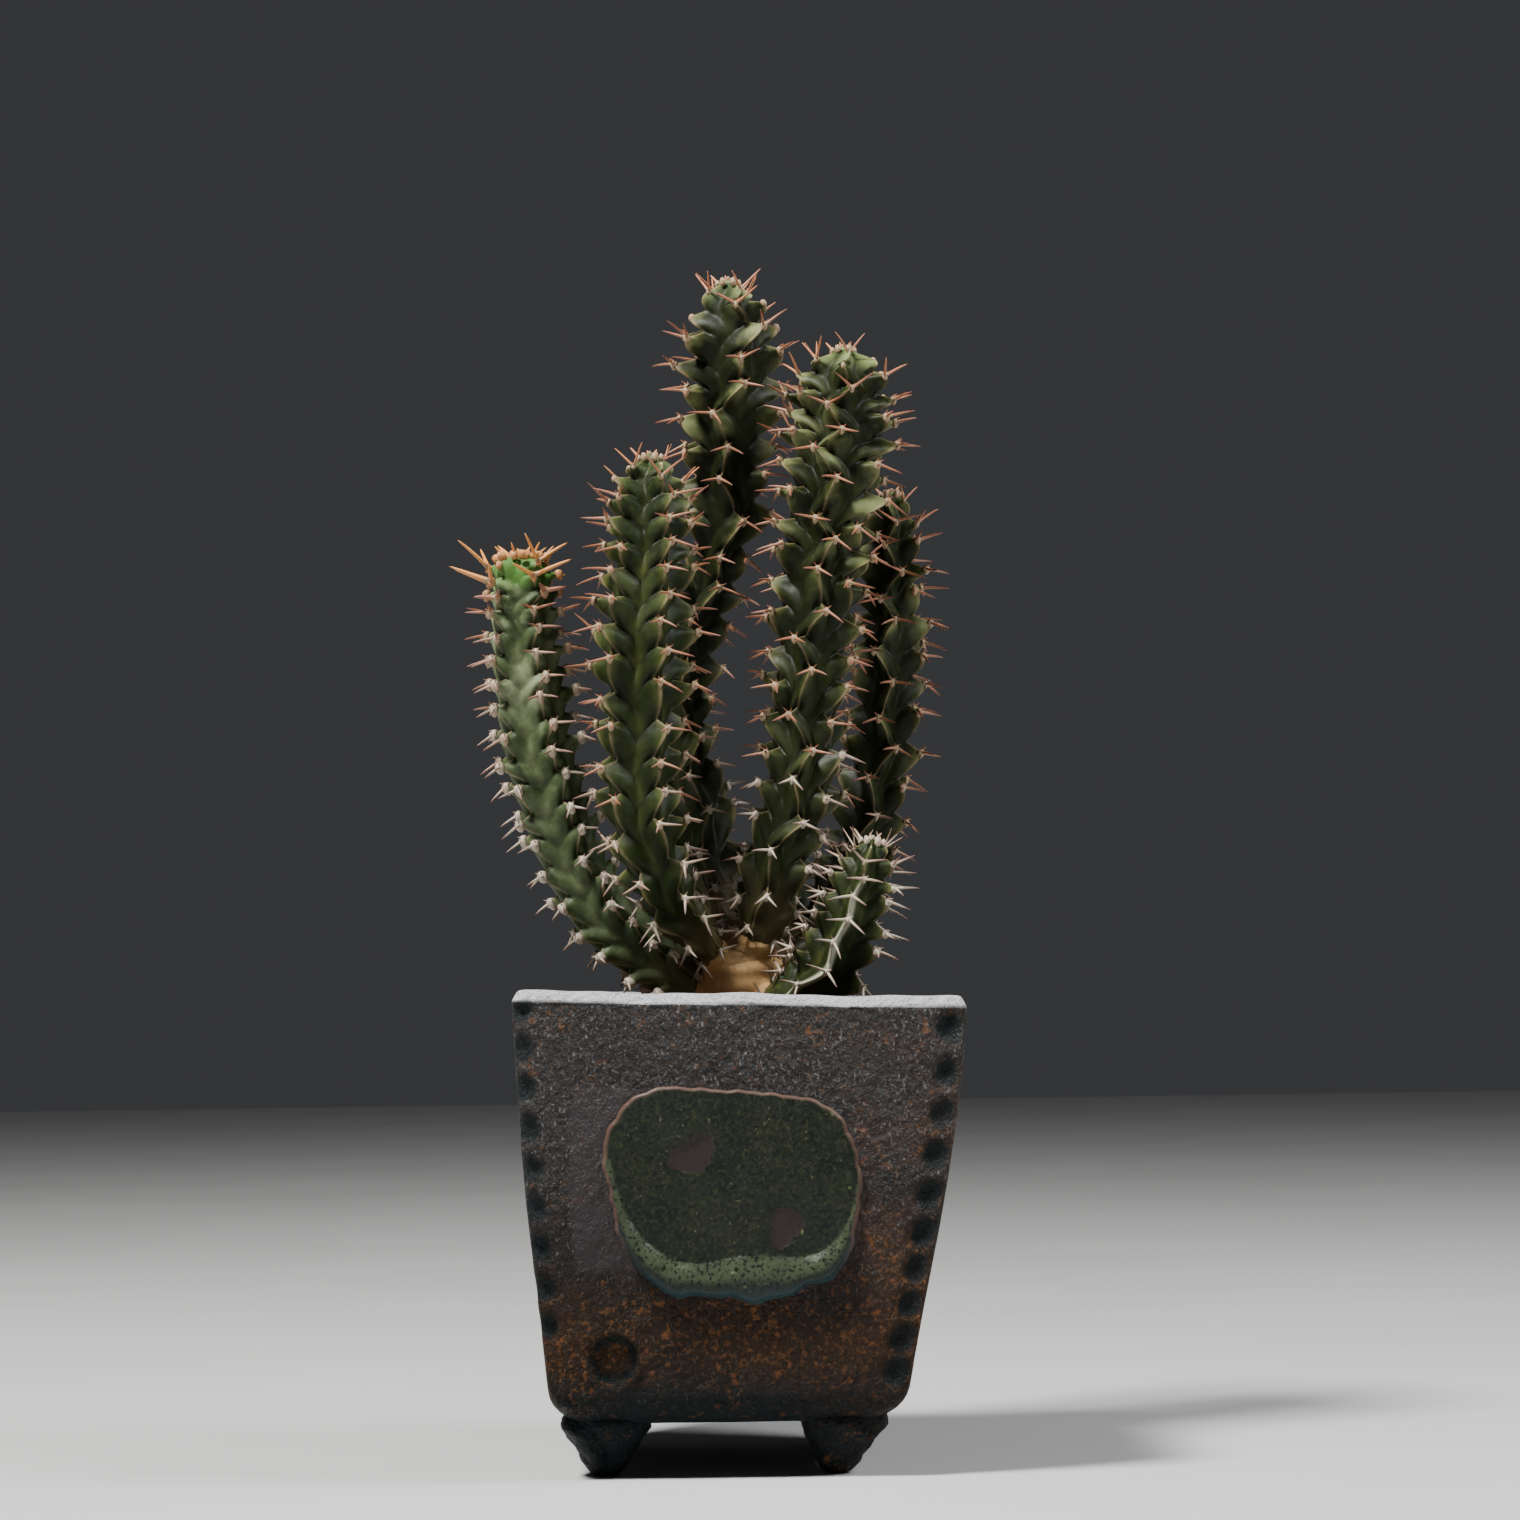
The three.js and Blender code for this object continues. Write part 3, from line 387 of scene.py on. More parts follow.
def clay_finish():
    finish, tree, shader = new_finish("dark_grogged_stoneware", 0.62, 0.27)
    mark = marks(tree, "clay_marks")
    place = put(tree, "ShaderNodeSeparateXYZ", {0: coordinates(tree)})
    height = (place, "Z")
    # Patchy dark clay full of pale sand, with painted glints over it and painted shade that darkens it
    # towards the feet.
    patchy = ramp(tree, noise(tree, 60, 5, 0.6), 0.33, 0.68)
    body = blend(tree, patchy, (0.046, 0.041, 0.036), (0.09, 0.081, 0.072))
    body = lay_over(tree, body, ramp(tree, noise(tree, 24, 2), 0.42, 0.62), 0.45, (0.075, 0.074, 0.08))
    sandy = ramp(tree, noise(tree, 900, 4, 0.7), 0.38, 0.68)
    body = blend(tree, 0.55, body, blend(tree, sandy, (0.014, 0.012, 0.01), (0.165, 0.148, 0.136)))
    # Painted glints: sparse pale flecks that stand for light caught by the grains.
    glint = ramp(tree, noise(tree, 1500, 2, 0.5, (1, 1, 0.6), 0.6), 0.6, 0.7)
    body = lay_over(tree, body, glint, 0.5, (0.34, 0.33, 0.34))
    # Painted shade: the clay darkens from high on the wall down towards the feet.
    body = lay_over(tree, body, ramp(tree, height, 0.075, 0.034), 0.8, (0.014, 0.0125, 0.011))
    # A brown drift low down, a warm tint on the right, a bluish one at the feet, and kiln black over all.
    low_down = times(tree, ramp(tree, height, 0.046, 0.03), ramp(tree, height, 0.017, 0.026))
    drift = times(tree, low_down, ramp(tree, noise(tree, 40, 4), 0.36, 0.6))
    body = lay_over(tree, body, drift, 0.45, (0.07, 0.038, 0.018))
    rightward = times(tree, ramp(tree, (place, "X"), 0.012, 0.036), ramp(tree, height, 0.095, 0.08))
    warm = times(tree, rightward, ramp(tree, noise(tree, 45, 4), 0.4, 0.64))
    body = lay_over(tree, body, warm, 0.6, (0.17, 0.075, 0.036))
    bluish = ramp(tree, noise(tree, 70), 0.25, 0.5, 0.55, 1.0)
    foot_tint = times(tree, ramp(tree, height, 0.026, 0.013), bluish)
    body = lay_over(tree, body, foot_tint, 0.85, (0.022, 0.04, 0.046))
    body = blend(tree, 0.75, body, (0.004, 0.0034, 0.003))
    # The painted glints again, kept fewer low down on the wall.
    glint = times(tree, glint, ramp(tree, height, 0.034, 0.07, 0.3, 1.0))
    body = lay_over(tree, body, glint, 0.28, (0.26, 0.25, 0.25))
    body = lay_over(tree, body, drift, 0.55, (0.042, 0.021, 0.01))
    # Rust flecks in scattered patches, crowded low down and on the right, and single larger iron spots.
    crowd = reckon(tree, "ADD", times(tree, low_down, 0.75), times(tree, warm, 0.6), clamp=True)
    patches = ramp(tree, noise(tree, 90, 3), 0.54, 0.66, 0.0, 0.75)
    flecked = reckon(tree, "ADD", patches, crowd, clamp=True)
    fleck = times(tree, ramp(tree, noise(tree, 860, 3, 0.6), 0.53, 0.64), flecked)
    body = lay_over(tree, body, fleck, 0.7, (0.14, 0.06, 0.02))
    spot = ramp(tree, noise(tree, 420, 2, 0.5), 0.64, 0.72)
    iron = times(tree, spot, ramp(tree, flecked, 0.0, 0.6, 0.45, 1.0))
    body = lay_over(tree, body, iron, 0.7, (0.16, 0.06, 0.02))
    # The thin wash beside and around the glaze, a dark teal tint with painted shade in the dents and the
    # dimple's ring, and paler clay with a painted highlight on the rim's bevel.
    wash = times(tree, (mark, 2), ramp(tree, noise(tree, 150), 0.25, 0.55, 0.75, 1.0))
    body = lay_over(tree, body, wash, 0.8, (0.034, 0.027, 0.029))
    # Painted shade: a dark teal, nearly black, in the thumb dents and the dimple's groove.
    body = lay_over(tree, body, ramp(tree, (mark, 0), 0.1, 0.75), 0.88, (0.006, 0.011, 0.012))
    # Paler clay with a painted highlight on the rim's bevel.
    rim_pale_and_painted_highlight = times(tree, (mark, 1), ramp(tree, noise(tree, 300), 0.2, 0.6, 0.75, 1.0))
    body = lay_over(tree, body, rim_pale_and_painted_highlight, 0.9, (0.62, 0.62, 0.64))
    feed(tree, body, shader, "Base Color")
    feed(tree, ramp(tree, noise(tree, 800, 3), 0.35, 0.65, 0.28, 0.55), shader, "Roughness")
    feed(tree, ramp(tree, height, 0.02, 0.07, 0.08, 0.2), shader, "Specular IOR Level")
    calm = reckon(tree, "SUBTRACT", 1.0, times(tree, (mark, 2), 0.5))
    coarse = bump(tree, 1.0, 0.0014, noise(tree, 330, 5, 0.65))
    slanted = noise(tree, 760, 4, 0.65, (1, 1, 0.7), 0.6)
    feed(tree, bump(tree, calm, 0.0018, slanted, coarse), shader, "Normal")
    return finish


clay = clay_finish()
pot.data.materials.append(clay)
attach(pot, "root")
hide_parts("pot")


# The feet: four short lumps of the same clay, folded over and pinched to a blunt point, then pressed on
# under the corners before firing. Each is a little different.
feet_x, foot_offset, foot_around = -3.8, 24.7, 56
foot_rings = [(17, 5.5, 0), (15, 7, 0), (13.4, 8.2, 0), (12.2, 8.9, 0), (11.2, 9.1, 0), (10.2, 8.9, 0.05),
              (9.2, 8.4, 0.15), (8.2, 7.8, 0.25), (7.2, 7.1, 0.35), (6.2, 6.5, 0.5), (5.2, 5.9, 0.6),
              (4.2, 5.4, 0.7), (3.2, 4.9, 0.8), (2.3, 4.4, 0.9), (1.5, 3.9, 1), (0.8, 3.3, 1),
              (0.3, 2.6, 1), (0.05, 1.7, 1), (0, 0.7, 1)]


def make_feet():
    """All four feet, each from its rings' heights, radii and steps towards the pot's middle."""
    points, faces = [], []
    for number, (sx, sy) in enumerate(corner_ways):
        start = len(points)
        for z, radius, inward in foot_rings:
            middle_x = feet_x + sx * (foot_offset - inward * 0.4) - 0.9 * inward
            middle_y = sy * (foot_offset - inward)
            for i in range(foot_around):
                angle = i / foot_around * 2 * math.pi
                fold = 0.06 * math.cos(3 * angle + sx + 2 * sy) + 0.04 * math.cos(2 * angle + number)
                crease_at = 4.3 + number * 1.3 - (z - 4) * 0.1
                crease = math.remainder(angle - crease_at, 2 * math.pi)
                overlap = 0.09 * math.exp(-(crease / 0.4) ** 2)
                overlap -= 0.2 * math.exp(-((crease - 0.5) / 0.17) ** 2)
                knob = 0.05 * math.sin(4 * angle + z * 0.8 + number) * math.sin(z * 0.75 + angle)
                knob += 0.02 * math.sin(9 * angle - z)
                fade = ease(z, 0, 4) * (1 - 0.85 * ease(z, 9.5, 12.5))
                share = 1 + fold * ease(z, 0, 4) * 0.8 + (overlap + knob) * fade
                reach = radius * share
                points.append((middle_x + reach * math.cos(angle), middle_y + reach * math.sin(angle), z))
        top_pole = (feet_x + sx * foot_offset, sy * foot_offset, 17.2)
        low_pole = (feet_x + sx * (foot_offset - 0.4) - 0.9, sy * (foot_offset - 1), 0)
        points.extend([top_pole, low_pole])
        pole = start + len(foot_rings) * foot_around
        faces.extend(corners[::-1] for corners in grid_faces(len(foot_rings), foot_around, start))
        add_caps(faces, foot_around, pole - foot_around, pole + 1, start, pole)
    return make_piece("pot_feet", points, faces)


feet = make_feet()
count = len(feet.data.vertices)
# The feet carry a little of the dents' dark teal tint and painted shade.
paint(feet, "clay_marks", np.full(count, 0.3), np.zeros(count), np.zeros(count))
feet.data.materials.append(clay)
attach(feet, "root")


# The glaze pool: a thick green glaze poured on the front face, which ran down and stopped in a fat rolled
# lip. Its edge is thin and rust-coloured at the top, and two thin spots let the clay show through.
lip_height, pool_around = 7.2, 260
thin_spots = [(-9.5, 67.5, 5.4, 3.6, 0.5), (9.4, 52.6, 3.4, 4.6, -0.4)]
pool_edge = [(1.022, -1.8), (1.012, 0.05), (1.004, 0.36), (0.996, 0.62), (0.986, 0.82), (0.972, 0.94),
             (0.955, 1)]


def lower_edge(x):
    """Height of the pool's lower outline at a place across the face."""
    angles = np.linspace(-math.pi * 0.985, -math.pi * 0.015, 240)
    reach = pool_reach(angles)
    across = pool_x + pool_half_x * reach * np.cos(angles)
    return np.interp(x, across, pool_z + pool_half_z * reach * np.sin(angles))


def spot_share(x, z):
    """How far the glaze is thinned at a place by the thin spots: two tilted ovals with a ragged edge."""
    shown = 0.0
    for spot_x, spot_z, wide, tall, tilt in thin_spots:
        u = (x - spot_x) * math.cos(tilt) + (z - spot_z) * math.sin(tilt)
        v = (z - spot_z) * math.cos(tilt) - (x - spot_x) * math.sin(tilt)
        gap = math.hypot(u / wide, v / tall) + 0.14 * math.sin(3 * math.atan2(v, u) + spot_x)
        gap += 0.05 * math.sin(x * 2.1 + z * 1.7)
        shown = max(shown, 1 - ease(gap, 0.78, 1.12))
    return shown


def make_pool():
    """The pool, in rings from its edge inwards. It is marked with painted dark teal shade on its lower edge
    and under the lip, the thin spots, a painted highlight on the lip's crest and the thin rust-coloured top
    edge."""
    points, painted_lip_shade, bare, crests, tops = [], [], [], [], []
    inner = np.concatenate([np.linspace(0.94, 0.6, 30), np.linspace(0.57, 0.03, 18)])
    rings = pool_edge + [(share, 1) for share in inner]
    for share, rise in rings:
        for i in range(pool_around):
            angle = i / pool_around * 2 * math.pi
            ragged = 1 + 0.009 * math.sin(9 * angle + 1) + 0.006 * math.sin(22 * angle)
            ragged += 0.004 * math.sin(41 * angle + 2)
            reach = float(pool_reach(angle)) * share * ragged
            x = pool_x + pool_half_x * reach * math.cos(angle)
            z = pool_z + pool_half_z * reach * math.sin(angle)
            above = (z - float(lower_edge(x))) / (lip_height + 1.3 * math.sin(x * 0.21 + 1))
            roll = math.sin(math.pi * min(1, max(0, above)) ** 0.62) ** 0.8 if 0 < above < 1 else 0.0
            ends = 1 - ease(abs(x - pool_x), 20.5, 24.5)
            lip = roll * (0.35 + 0.65 * ends)
            swell = 0.16 * math.sin(x * 0.55 + 0.6) + 0.1 * math.sin(x * 1.15 + 2)
            skin = 0.06 * math.sin(x * 0.8 + z * 0.5) + 0.05 * math.sin(z * 1.1 - x * 0.3)
            shown = spot_share(x, z)
            thick = (0.75 + skin) * (1 - 0.6 * shown) + (1.75 + swell) * lip * (1 - shown)
            out = rise if rise < 0 else rise * thick
            sag = 0.8 + 0.5 * math.sin(x * 0.33 + 0.4) + 0.35 * math.sin(x * 0.8)
            sag *= ease(-math.sin(angle), 0.3, 0.8)
            sag *= ease(share, 0.8, 1.0) if rise > 0 else 1
            half = wall_half(z)
            wave = float(hand_wave(x - wall_lean(z), -half, z))
            points.append((x, -half - wave - out, z - sag))
            # Painted shade on the lip's lower side, and a painted highlight on its crest.
            painted_lip_shade.append(1 - ease(above, 0.0, 0.36) if above > -0.5 else 1.0)
            bare.append(shown)
            crests.append(ease(above, 0.25, 0.5) * (1 - ease(above, 0.8, 1.1)))
            outer = ease(share, 0.975, 0.995)
            tops.append(outer * ease(math.sin(angle), -0.75, -0.3))
    front_y = -wall_half(pool_z)
    points.append((pool_x, front_y - 0.75 - float(hand_wave(pool_x, front_y, pool_z)), pool_z))
    points.append((pool_x, front_y + 1.8, pool_z))
    faces = grid_faces(len(rings), pool_around)
    pole = len(rings) * pool_around
    add_caps(faces, pool_around, 0, pole + 1, pole - pool_around, pole)
    piece = make_piece("glaze_pool", points, faces)
    painted_lip_shade, bare, crests, tops = (np.array(values + [0, 0]) for values in (painted_lip_shade, bare, crests, tops))
    paint(piece, "glaze_marks", painted_lip_shade, bare, crests)
    paint(piece, "glaze_rim", tops, tops, tops)
    return piece


def glaze_finish():
    finish, tree, shader = new_finish("poured_green_glaze", 0.34, 0.15)
    mark = marks(tree, "glaze_marks")
    rim = marks(tree, "glaze_rim")
    cloudy = ramp(tree, noise(tree, 130, 5), 0.35, 0.65)
    body = blend(tree, cloudy, (0.005, 0.009, 0.006), (0.013, 0.017, 0.008))
    body = lay_over(tree, body, ramp(tree, noise(tree, 50, 3), 0.45, 0.62), 0.4, (0.01, 0.017, 0.013))
    mottled = ramp(tree, noise(tree, 1100, 3, 0.6), 0.48, 0.66)
    body = lay_over(tree, body, mottled, 0.6, (0.034, 0.038, 0.018))
    # Painted highlight: a paler olive along the crest of the rolled lip.
    lip = times(tree, (mark, 2), ramp(tree, noise(tree, 140, 4), 0.3, 0.6, 0.6, 1.0))
    body = lay_over(tree, body, lip, 0.85, (0.05, 0.064, 0.036))
    speck = ramp(tree, noise(tree, 1250, 2, 0.5), 0.47, 0.38)
    body = lay_over(tree, body, speck, 0.85, (0.004, 0.006, 0.005))
    bright = ramp(tree, noise(tree, 800, 2, 0.4), 0.7, 0.76)
    body = lay_over(tree, body, bright, 0.35, (0.2, 0.2, 0.1))
    # Painted shade: dark teal on the lower side of the lip.
    body = lay_over(tree, body, (mark, 0), 0.85, (0.016, 0.034, 0.038))
    body = lay_over(tree, body, ramp(tree, (mark, 1), 0.35, 0.6), 0.95, (0.024, 0.017, 0.017))
    body = lay_over(tree, body, (rim, 0), 0.8, (0.1, 0.058, 0.045))
    feed(tree, body, shader, "Base Color")
    gloss = ramp(tree, noise(tree, 700, 3), 0.3, 0.7, 0.26, 0.5)
    feed(tree, gloss, shader, "Roughness")
    shader.inputs["Coat Weight"].default_value = 0.04
    shader.inputs["Coat Roughness"].default_value = 0.3
    dimpled = bump(tree, 0.55, 0.0004, noise(tree, 900, 4, 0.6))
    feed(tree, dimpled, shader, "Normal")
    return finish


pool = make_pool()
pool.data.materials.append(glaze_finish())
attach(pool, "root")


# The potting mix: mineral grit of pumice, lava and baked clay, filled to 12 mm under the rim. A bed with a
# rough surface fills the pot, and loose grains of three colours lie on it.
mix_top, mix_gap, bed_corner = 88, 0.3, 3.2
grain_tries, grain_seed = 1150, 7
trunk_x, trunk_y, trunk_room = 0.7, -2, 9.6


def make_bed():
    """The bed: the walls of the filling, then its top in rings that close in on the trunk."""
    points = []
    levels = [(18.5, -9), (22, -2.4), (26, -0.3)] + [(z, 0) for z in (40, 55, 70, 82, mix_top - 1.2)]
    for z, inward in levels:
        half = wall_half(max(z, 24)) - wall - mix_gap + inward
        ring = square_ring(half, bed_corner)
        lean = wall_lean(max(z, 20))
        points.extend((x + lean, y, z) for x, y, *_ in ring)
    ring = square_ring(wall_half(mix_top) - wall - mix_gap - 0.4, bed_corner)
    lean = wall_lean(mix_top)
    shares = np.linspace(1, 0.12, 44)
    for j, share in enumerate(shares):
        for i, (x, y, *_) in enumerate(ring):
            px = trunk_x + (x + lean - trunk_x) * share
            py = trunk_y + (y - trunk_y) * share
            rough = 0.5 * (chance(i, j, 11) - 0.5) + 0.5 * math.sin(px * 0.31) * math.sin(py * 0.27 + 1)
            heaped = 0.7 * (1 - ease(math.hypot(px, py), 9, 18))
            points.append((px, py, mix_top + rough + heaped))
    around, pole = len(ring), len(points)
    faces = grid_faces(pole // around, around)
    points.extend([(-3, 0, 18.5), (trunk_x, trunk_y, mix_top + 0.6)])
    add_caps(faces, around, 0, pole, pole - around, pole + 1)
    return make_piece("mix_bed", points, faces)


def make_grit():
    """Loose grains: one rough ball with few faces, copied at many sizes and turns over the bed."""
    bpy.ops.object.select_all(action="DESELECT")
    bpy.ops.mesh.primitive_ico_sphere_add(subdivisions=2, radius=1)
    seed_grain = bpy.context.object
    shape = np.array([tuple(v.co) for v in seed_grain.data.vertices])
    corners = [tuple(p.vertices) for p in seed_grain.data.polygons]
    bpy.data.objects.remove(seed_grain)
    draw = np.random.default_rng(grain_seed)
    half = wall_half(mix_top) - wall - 1.6
    points, faces, tones = [], [], []
    for _ in range(grain_tries):
        x, y = draw.uniform(-half, half, 2)
        size = 0.55 + 1.5 * draw.random() ** 2.2
        if math.hypot(x - trunk_x, y - trunk_y) < trunk_room + size:
            continue
        if max(abs(x), abs(y)) > half - size + 1:
            continue
        uneven = 1 + 0.16 * np.sin(shape @ draw.normal(0, 2.4, 3) + draw.uniform(0, 6))
        uneven = uneven + draw.normal(0, 0.05, len(shape))
        flattened = np.array([1, draw.uniform(0.7, 1), draw.uniform(0.55, 0.85)])
        grain = shape * uneven[:, None] * flattened * size
        turn = draw.uniform(0, 2 * math.pi)
        cos, sin = math.cos(turn), math.sin(turn)
        turned_x = grain[:, 0] * cos - grain[:, 1] * sin
        turned_y = grain[:, 0] * sin + grain[:, 1] * cos
        turned = np.stack([turned_x, turned_y, grain[:, 2]], axis=1)
        turned += np.array([x + 0.2, y, mix_top + 0.1 + 0.35 * size + 0.8 * draw.random() * (size < 1)])
        start = len(points)
        points.extend(turned.tolist())
        faces.extend(tuple(start + c for c in corner) for corner in corners)
        tones.extend([(draw.random(), draw.random(), 0)] * len(shape))
    piece = make_piece("mix_grit", points, faces)
    tone = np.array(tones)
    paint(piece, "grain_tone", tone[:, 0], tone[:, 1], tone[:, 2])
    return piece


def mix_finish():
    finish, tree, shader = new_finish("mineral_potting_mix", 0.92, 0.2)
    tone = marks(tree, "grain_tone")
    body = blend(tree, ramp(tree, (tone, 0), 0.25, 0.75), (0.07, 0.045, 0.03), (0.2, 0.13, 0.08))
    body = blend(tree, ramp(tree, (tone, 1), 0.72, 0.78), body, (0.42, 0.38, 0.31))
    body = blend(tree, ramp(tree, (tone, 1), 0.16, 0.1), body, (0.045, 0.035, 0.035))
    body = lay_over(tree, body, ramp(tree, noise(tree, 900, 4), 0.4, 0.65), 0.5, (0.03, 0.022, 0.017))
    feed(tree, body, shader, "Base Color")
    rough = bump(tree, 0.8, 0.0004, noise(tree, 1100, 5, 0.65))
    feed(tree, rough, shader, "Normal")
    return finish


mix = mix_finish()
bed, grit = make_bed(), make_grit()
count = len(bed.data.vertices)
paint(bed, "grain_tone", np.full(count, 0.2), np.full(count, 0.4), np.zeros(count))
for piece in (bed, grit):
    piece.data.materials.append(mix)
    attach(piece, "root")
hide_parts("potting_mix")


# The stems: six fleshy branches with five or six ribs. Each rib is a row of tubercles, and each tubercle
# ends in a tooth with a horny shield. The tubercles of neighbouring ribs meet in a pale zigzag line.
stems = [
    dict(name="stem_left", wander=0.4, ribs=5, rows=20, first_rib=20, turn=8, seed=1,
         path=[(-6.5, -1, 102, 3.4), (-11.2, -1.5, 103.9, 5.5), (-16.4, -1.9, 106.8, 7.7),
               (-24, -2.6, 112.9, 8.9), (-30.6, -3.2, 120.3, 9.3), (-36.4, -4, 131.4, 9.4),
               (-40, -5, 143, 9.8), (-43.1, -6, 155.1, 10.3), (-44.4, -6, 166.6, 10.2),
               (-45.6, -6, 176.9, 9.7), (-45.7, -6, 185.6, 9.2), (-46, -6, 192.6, 8),
               (-46.1, -6, 195.6, 5.6)]),
    dict(name="stem_front", wander=0.6, ribs=5, rows=18, first_rib=34, turn=-6, seed=2,
         path=[(-4.5, -6.2, 108.3, 3), (-7.2, -9.2, 111.4, 4.6), (-10.4, -12.8, 115.5, 6.2),
               (-14.8, -16.6, 122, 8.3), (-18, -18.6, 129.6, 9.7), (-20.4, -19.4, 139.8, 10.4),
               (-20.6, -18.7, 151, 10.7), (-20.2, -18, 160.7, 11), (-20, -17, 170.1, 12),
               (-19.6, -16, 178.4, 12.6), (-18.7, -15, 187.9, 11.5), (-18.3, -14, 197.6, 10.8),
               (-17.9, -13, 206.5, 9.9), (-17.5, -12, 212.8, 7.1), (-17.5, -12, 216.3, 2.6)]),
    dict(name="stem_back", wander=1.5, ribs=5, rows=20, first_rib=0, turn=14, seed=3,
         path=[(-0.2, 3.2, 111, 3.6), (-2.4, 6.6, 115.2, 5.4), (-4.7, 10, 122.4, 7.6),
               (-7.2, 13, 132.9, 9.1), (-9.4, 15, 144.7, 9.4), (-11.5, 16, 155.8, 8.7),
               (-11.8, 16, 166.9, 8.2), (-9.9, 16, 178, 8.1), (-6.5, 16, 188.6, 7.8),
               (-3.3, 15, 198, 7.9), (-1.4, 14, 206.9, 9.7), (-1.2, 13, 216.9, 10.9),
               (-0.9, 12, 225.8, 11.8), (-0.1, 11, 233.6, 12.9), (0.2, 10, 240.6, 13),
               (0.1, 9, 248.2, 10.8), (-0.2, 9, 254.2, 7.2), (-0.2, 9, 258, 2.5)]),
    dict(name="stem_centre", wander=1.2, ribs=6, rows=20, first_rib=-8, turn=10, seed=4,
         path=[(3.4, -4.6, 110, 3.6), (4.9, -5.4, 114.2, 5.5), (6.3, -6.2, 120.2, 7.6),
               (8.4, -7, 128.3, 8.9), (11.2, -7, 136.6, 9.1), (13.8, -7, 145.8, 9.8),
               (14.9, -6, 156.4, 10.1), (15.8, -6, 166.2, 10.2), (17.2, -5, 176.1, 10.5),
               (18.5, -5, 187, 11.4), (20, -4, 198, 12.6), (21.9, -4, 209, 13.2),
               (23.6, -3, 220.1, 13.4), (24.4, -3, 229.6, 12.6), (24.8, -3, 236.6, 9.6),
               (24.9, -3, 240.6, 3)]),
    dict(name="stem_right", wander=1.2, ribs=5, rows=17, first_rib=60, turn=10, seed=5,
         path=[(5.6, 2.6, 106.3, 3.4), (9.8, 5.4, 110.4, 5), (15, 9, 115.5, 6.9), (22.4, 13, 122.8, 8.5),
               (27.4, 16, 132, 8.8), (30.6, 18, 143.1, 9.1), (32.6, 19, 154.3, 9.1),
               (33.7, 19, 165.5, 9.1), (34.7, 18.5, 176.7, 9.1), (35, 18, 187.9, 8.8),
               (35.3, 17, 199, 8.2), (35.5, 17, 207.4, 5.9), (35.6, 17, 211.2, 2.4)]),
    dict(name="stem_short", wander=0.3, ribs=5, rows=10, first_rib=-12, turn=6, seed=6,
         path=[(5.5, -6.2, 98.9, 3), (9, -9, 99, 5.3), (13.2, -11.8, 100.4, 7.5), (18, -14.2, 104, 8.9),
               (22, -16, 110.2, 9), (25, -17, 117.7, 8.4), (27.2, -17.6, 124.6, 7.3),
               (28.6, -17.8, 129.4, 5.4), (29.1, -17.8, 132.3, 2.2)]),
]
path_steps = 24
rib_phases = [0, 0.4, -0.2, 0.2, -0.4]
notch_depth, valley_depth, notch_place = 0.42, 0.57, 0.24


def follow_path(stem):
    """The smooth curve through a stem's points: places, radii and run along it."""
    path = np.array(stem["path"], dtype=float)
    rows = []
    for i in range(len(path) - 1):
        a, b = path[max(i - 1, 0)], path[i]
        c, d = path[i + 1], path[min(i + 2, len(path) - 1)]
        for j in range(path_steps + (1 if i == len(path) - 2 else 0)):
            t = j / path_steps
            squared, cubed = 2 * a - 5 * b + 4 * c - d, 3 * b - a - 3 * c + d
            rows.append(0.5 * (2 * b + (c - a) * t + squared * t * t + cubed * t ** 3))
    rows = np.array(rows)
    runs = np.concatenate([[0], np.cumsum(np.linalg.norm(np.diff(rows[:, :3], axis=0), axis=1))])
    stem.update(places=rows[:, :3], radii=rows[:, 3], runs=runs, length=float(runs[-1]))


def unit(vector):
    return vector / np.linalg.norm(vector)


def on_path(stem, run):
    """Place, radius, taper, and the directions along, front and right at a run along a stem."""
    places, radii, runs = stem["places"], stem["radii"], stem["runs"]
    wanted = min(max(run, 0), stem["length"])
    i = int(np.clip(np.searchsorted(runs, wanted, side="left"), 1, len(runs) - 1))
    share = (wanted - runs[i - 1]) / (runs[i] - runs[i - 1])
    far, near = min(i + 6, len(runs) - 1), max(i - 7, 0)
    along = unit(places[far] - places[near])
    front = np.array([0.0, -1.0, 0.0])
    front = unit(front - along * front.dot(along))
    return dict(place=places[i - 1] + share * (places[i] - places[i - 1]),
                radius=radii[i - 1] + share * (radii[i] - radii[i - 1]),
                fall=(radii[near] - radii[far]) / (runs[far] - runs[near]),
                along=along, front=front, right=np.cross(along, front))


def row_run(stem, row):
    share = row / stem["rows"]
    return stem["length"] * (1.18 * share - 0.18 * share ** 4)


def rib_angle(stem, rib, run):
    even_place = stem["first_rib"] + rib * (360 / stem["ribs"])
    return math.radians(even_place + stem["turn"] * (run / stem["length"]))


def rib_wander(stem, rib, run):
    """How far a rib strays round the stem from its even place, in radians."""
    wave = math.sin(run * 0.12 + rib * 2.1 + stem["seed"]) + 0.6 * math.sin(run * 0.045 + rib * 1.3)
    return stem["wander"] * math.radians(6) * wave


